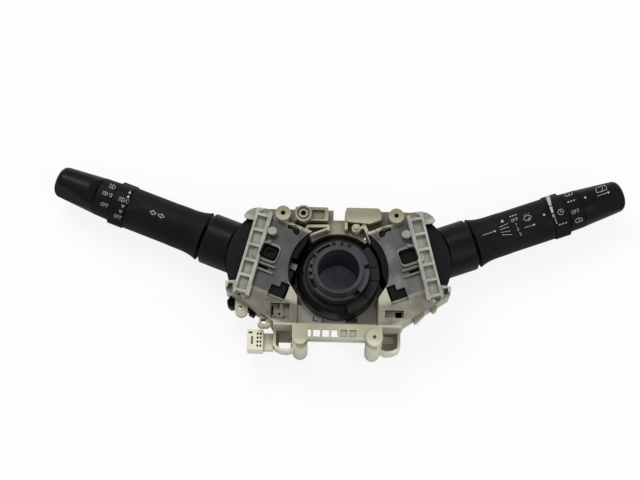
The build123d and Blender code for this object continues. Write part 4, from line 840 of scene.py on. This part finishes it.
def lamp(name, place, size, power, colour):
    """Soft rectangular lamp that points at the foot of the column axis."""
    data = bpy.data.lights.new(name, "AREA")
    data.shape = "RECTANGLE"
    data.size, data.size_y = size
    data.energy = power
    data.color = colour
    piece = bpy.data.objects.new(name, data)
    bpy.context.collection.objects.link(piece)
    piece.location = place
    piece.rotation_euler = (-Vector(place)).to_track_quat("-Z", "Y").to_euler()


make_world()
lamp("key", KEY_PLACE, KEY_SIZE, KEY_POWER, KEY_COLOUR)
lamp("fill", FILL_PLACE, FILL_SIZE, FILL_POWER, FILL_COLOUR)

# ------------------------------------------------------------------ floor and painted shade pad
FLOOR_REACH = 4.0
FLOOR_TONE = (0.86, 0.86, 0.86)
FLOOR_SHINE = 0.86               # share of plain white in what the camera sees of the floor
FLOOR_GAP = 0.0002               # the floor lies this far under the part
PAD_LOW = (-0.034, -0.026)       # the pad is painted shade, standing for what shows dark in the bore and pale round it
PAD_HIGH = (0.034, 0.032)
PAD_LIFT = 0.0001
PAD_BORE_SHADE = [(0.35, (0.26, 0.23, 0.29)), (0.65, (0.52, 0.44, 0.54))]
PAD_PALE_SHADE = (0.62, 0.60, 0.52)
BORE = 0.0195                    # radius of the pad's dark middle


def flat_piece(name, low, high, height, material):
    """Level rectangle between two corners."""
    mesh = bpy.data.meshes.new(name)
    corners = [(low[0], low[1], 0), (high[0], low[1], 0), (high[0], high[1], 0), (low[0], high[1], 0)]
    mesh.from_pydata(corners, [], [(0, 1, 2, 3)])
    mesh.materials.append(material)
    piece = bpy.data.objects.new(name, mesh)
    bpy.context.collection.objects.link(piece)
    piece.location.z = height
    return piece


def floor_white():
    """Pale floor that the camera sees as nearly white, and that still takes the object's shadow."""
    material, tree, shader, place = new_material("floor white")
    shader.inputs["Base Color"].default_value = (*FLOOR_TONE, 1)
    shader.inputs["Roughness"].default_value = 0.9
    shader.inputs["Specular IOR Level"].default_value = 0.1
    shine = tree.nodes.new("ShaderNodeEmission")
    shine.inputs["Strength"].default_value = 1.0
    blend = tree.nodes.new("ShaderNodeMixShader")
    path = tree.nodes.new("ShaderNodeLightPath")
    tree.links.new(product(tree, path.outputs["Is Camera Ray"], FLOOR_SHINE), blend.inputs["Fac"])
    tree.links.new(shader.outputs[0], blend.inputs[1])
    tree.links.new(shine.outputs[0], blend.inputs[2])
    tree.links.new(blend.outputs[0], tree.nodes["Material Output"].inputs["Surface"])
    return material


def shadow_pad_paint():
    """Painted shade: dark purple round the column axis, pale beyond."""
    material, tree, shader, place = new_material("shadow_pad")
    from_axis = tree.nodes.new("ShaderNodeVectorMath")
    from_axis.operation = "LENGTH"
    tree.links.new(place, from_axis.inputs[0])
    outside = over(tree, from_axis.outputs["Value"], BORE)
    dark = ramp(tree, noise(tree, place, 60.0), PAD_BORE_SHADE)
    tree.links.new(mix(tree, outside, dark, PAD_PALE_SHADE), shader.inputs["Base Color"])
    shader.inputs["Roughness"].default_value = 0.6
    return material


underside = cad_box[0][2]
floor = flat_piece("floor", (-FLOOR_REACH, -FLOOR_REACH), (FLOOR_REACH, FLOOR_REACH), underside - FLOOR_GAP,
                   floor_white())
shadow_pad = flat_piece("shadow_pad", PAD_LOW, PAD_HIGH, underside + PAD_LIFT, shadow_pad_paint())
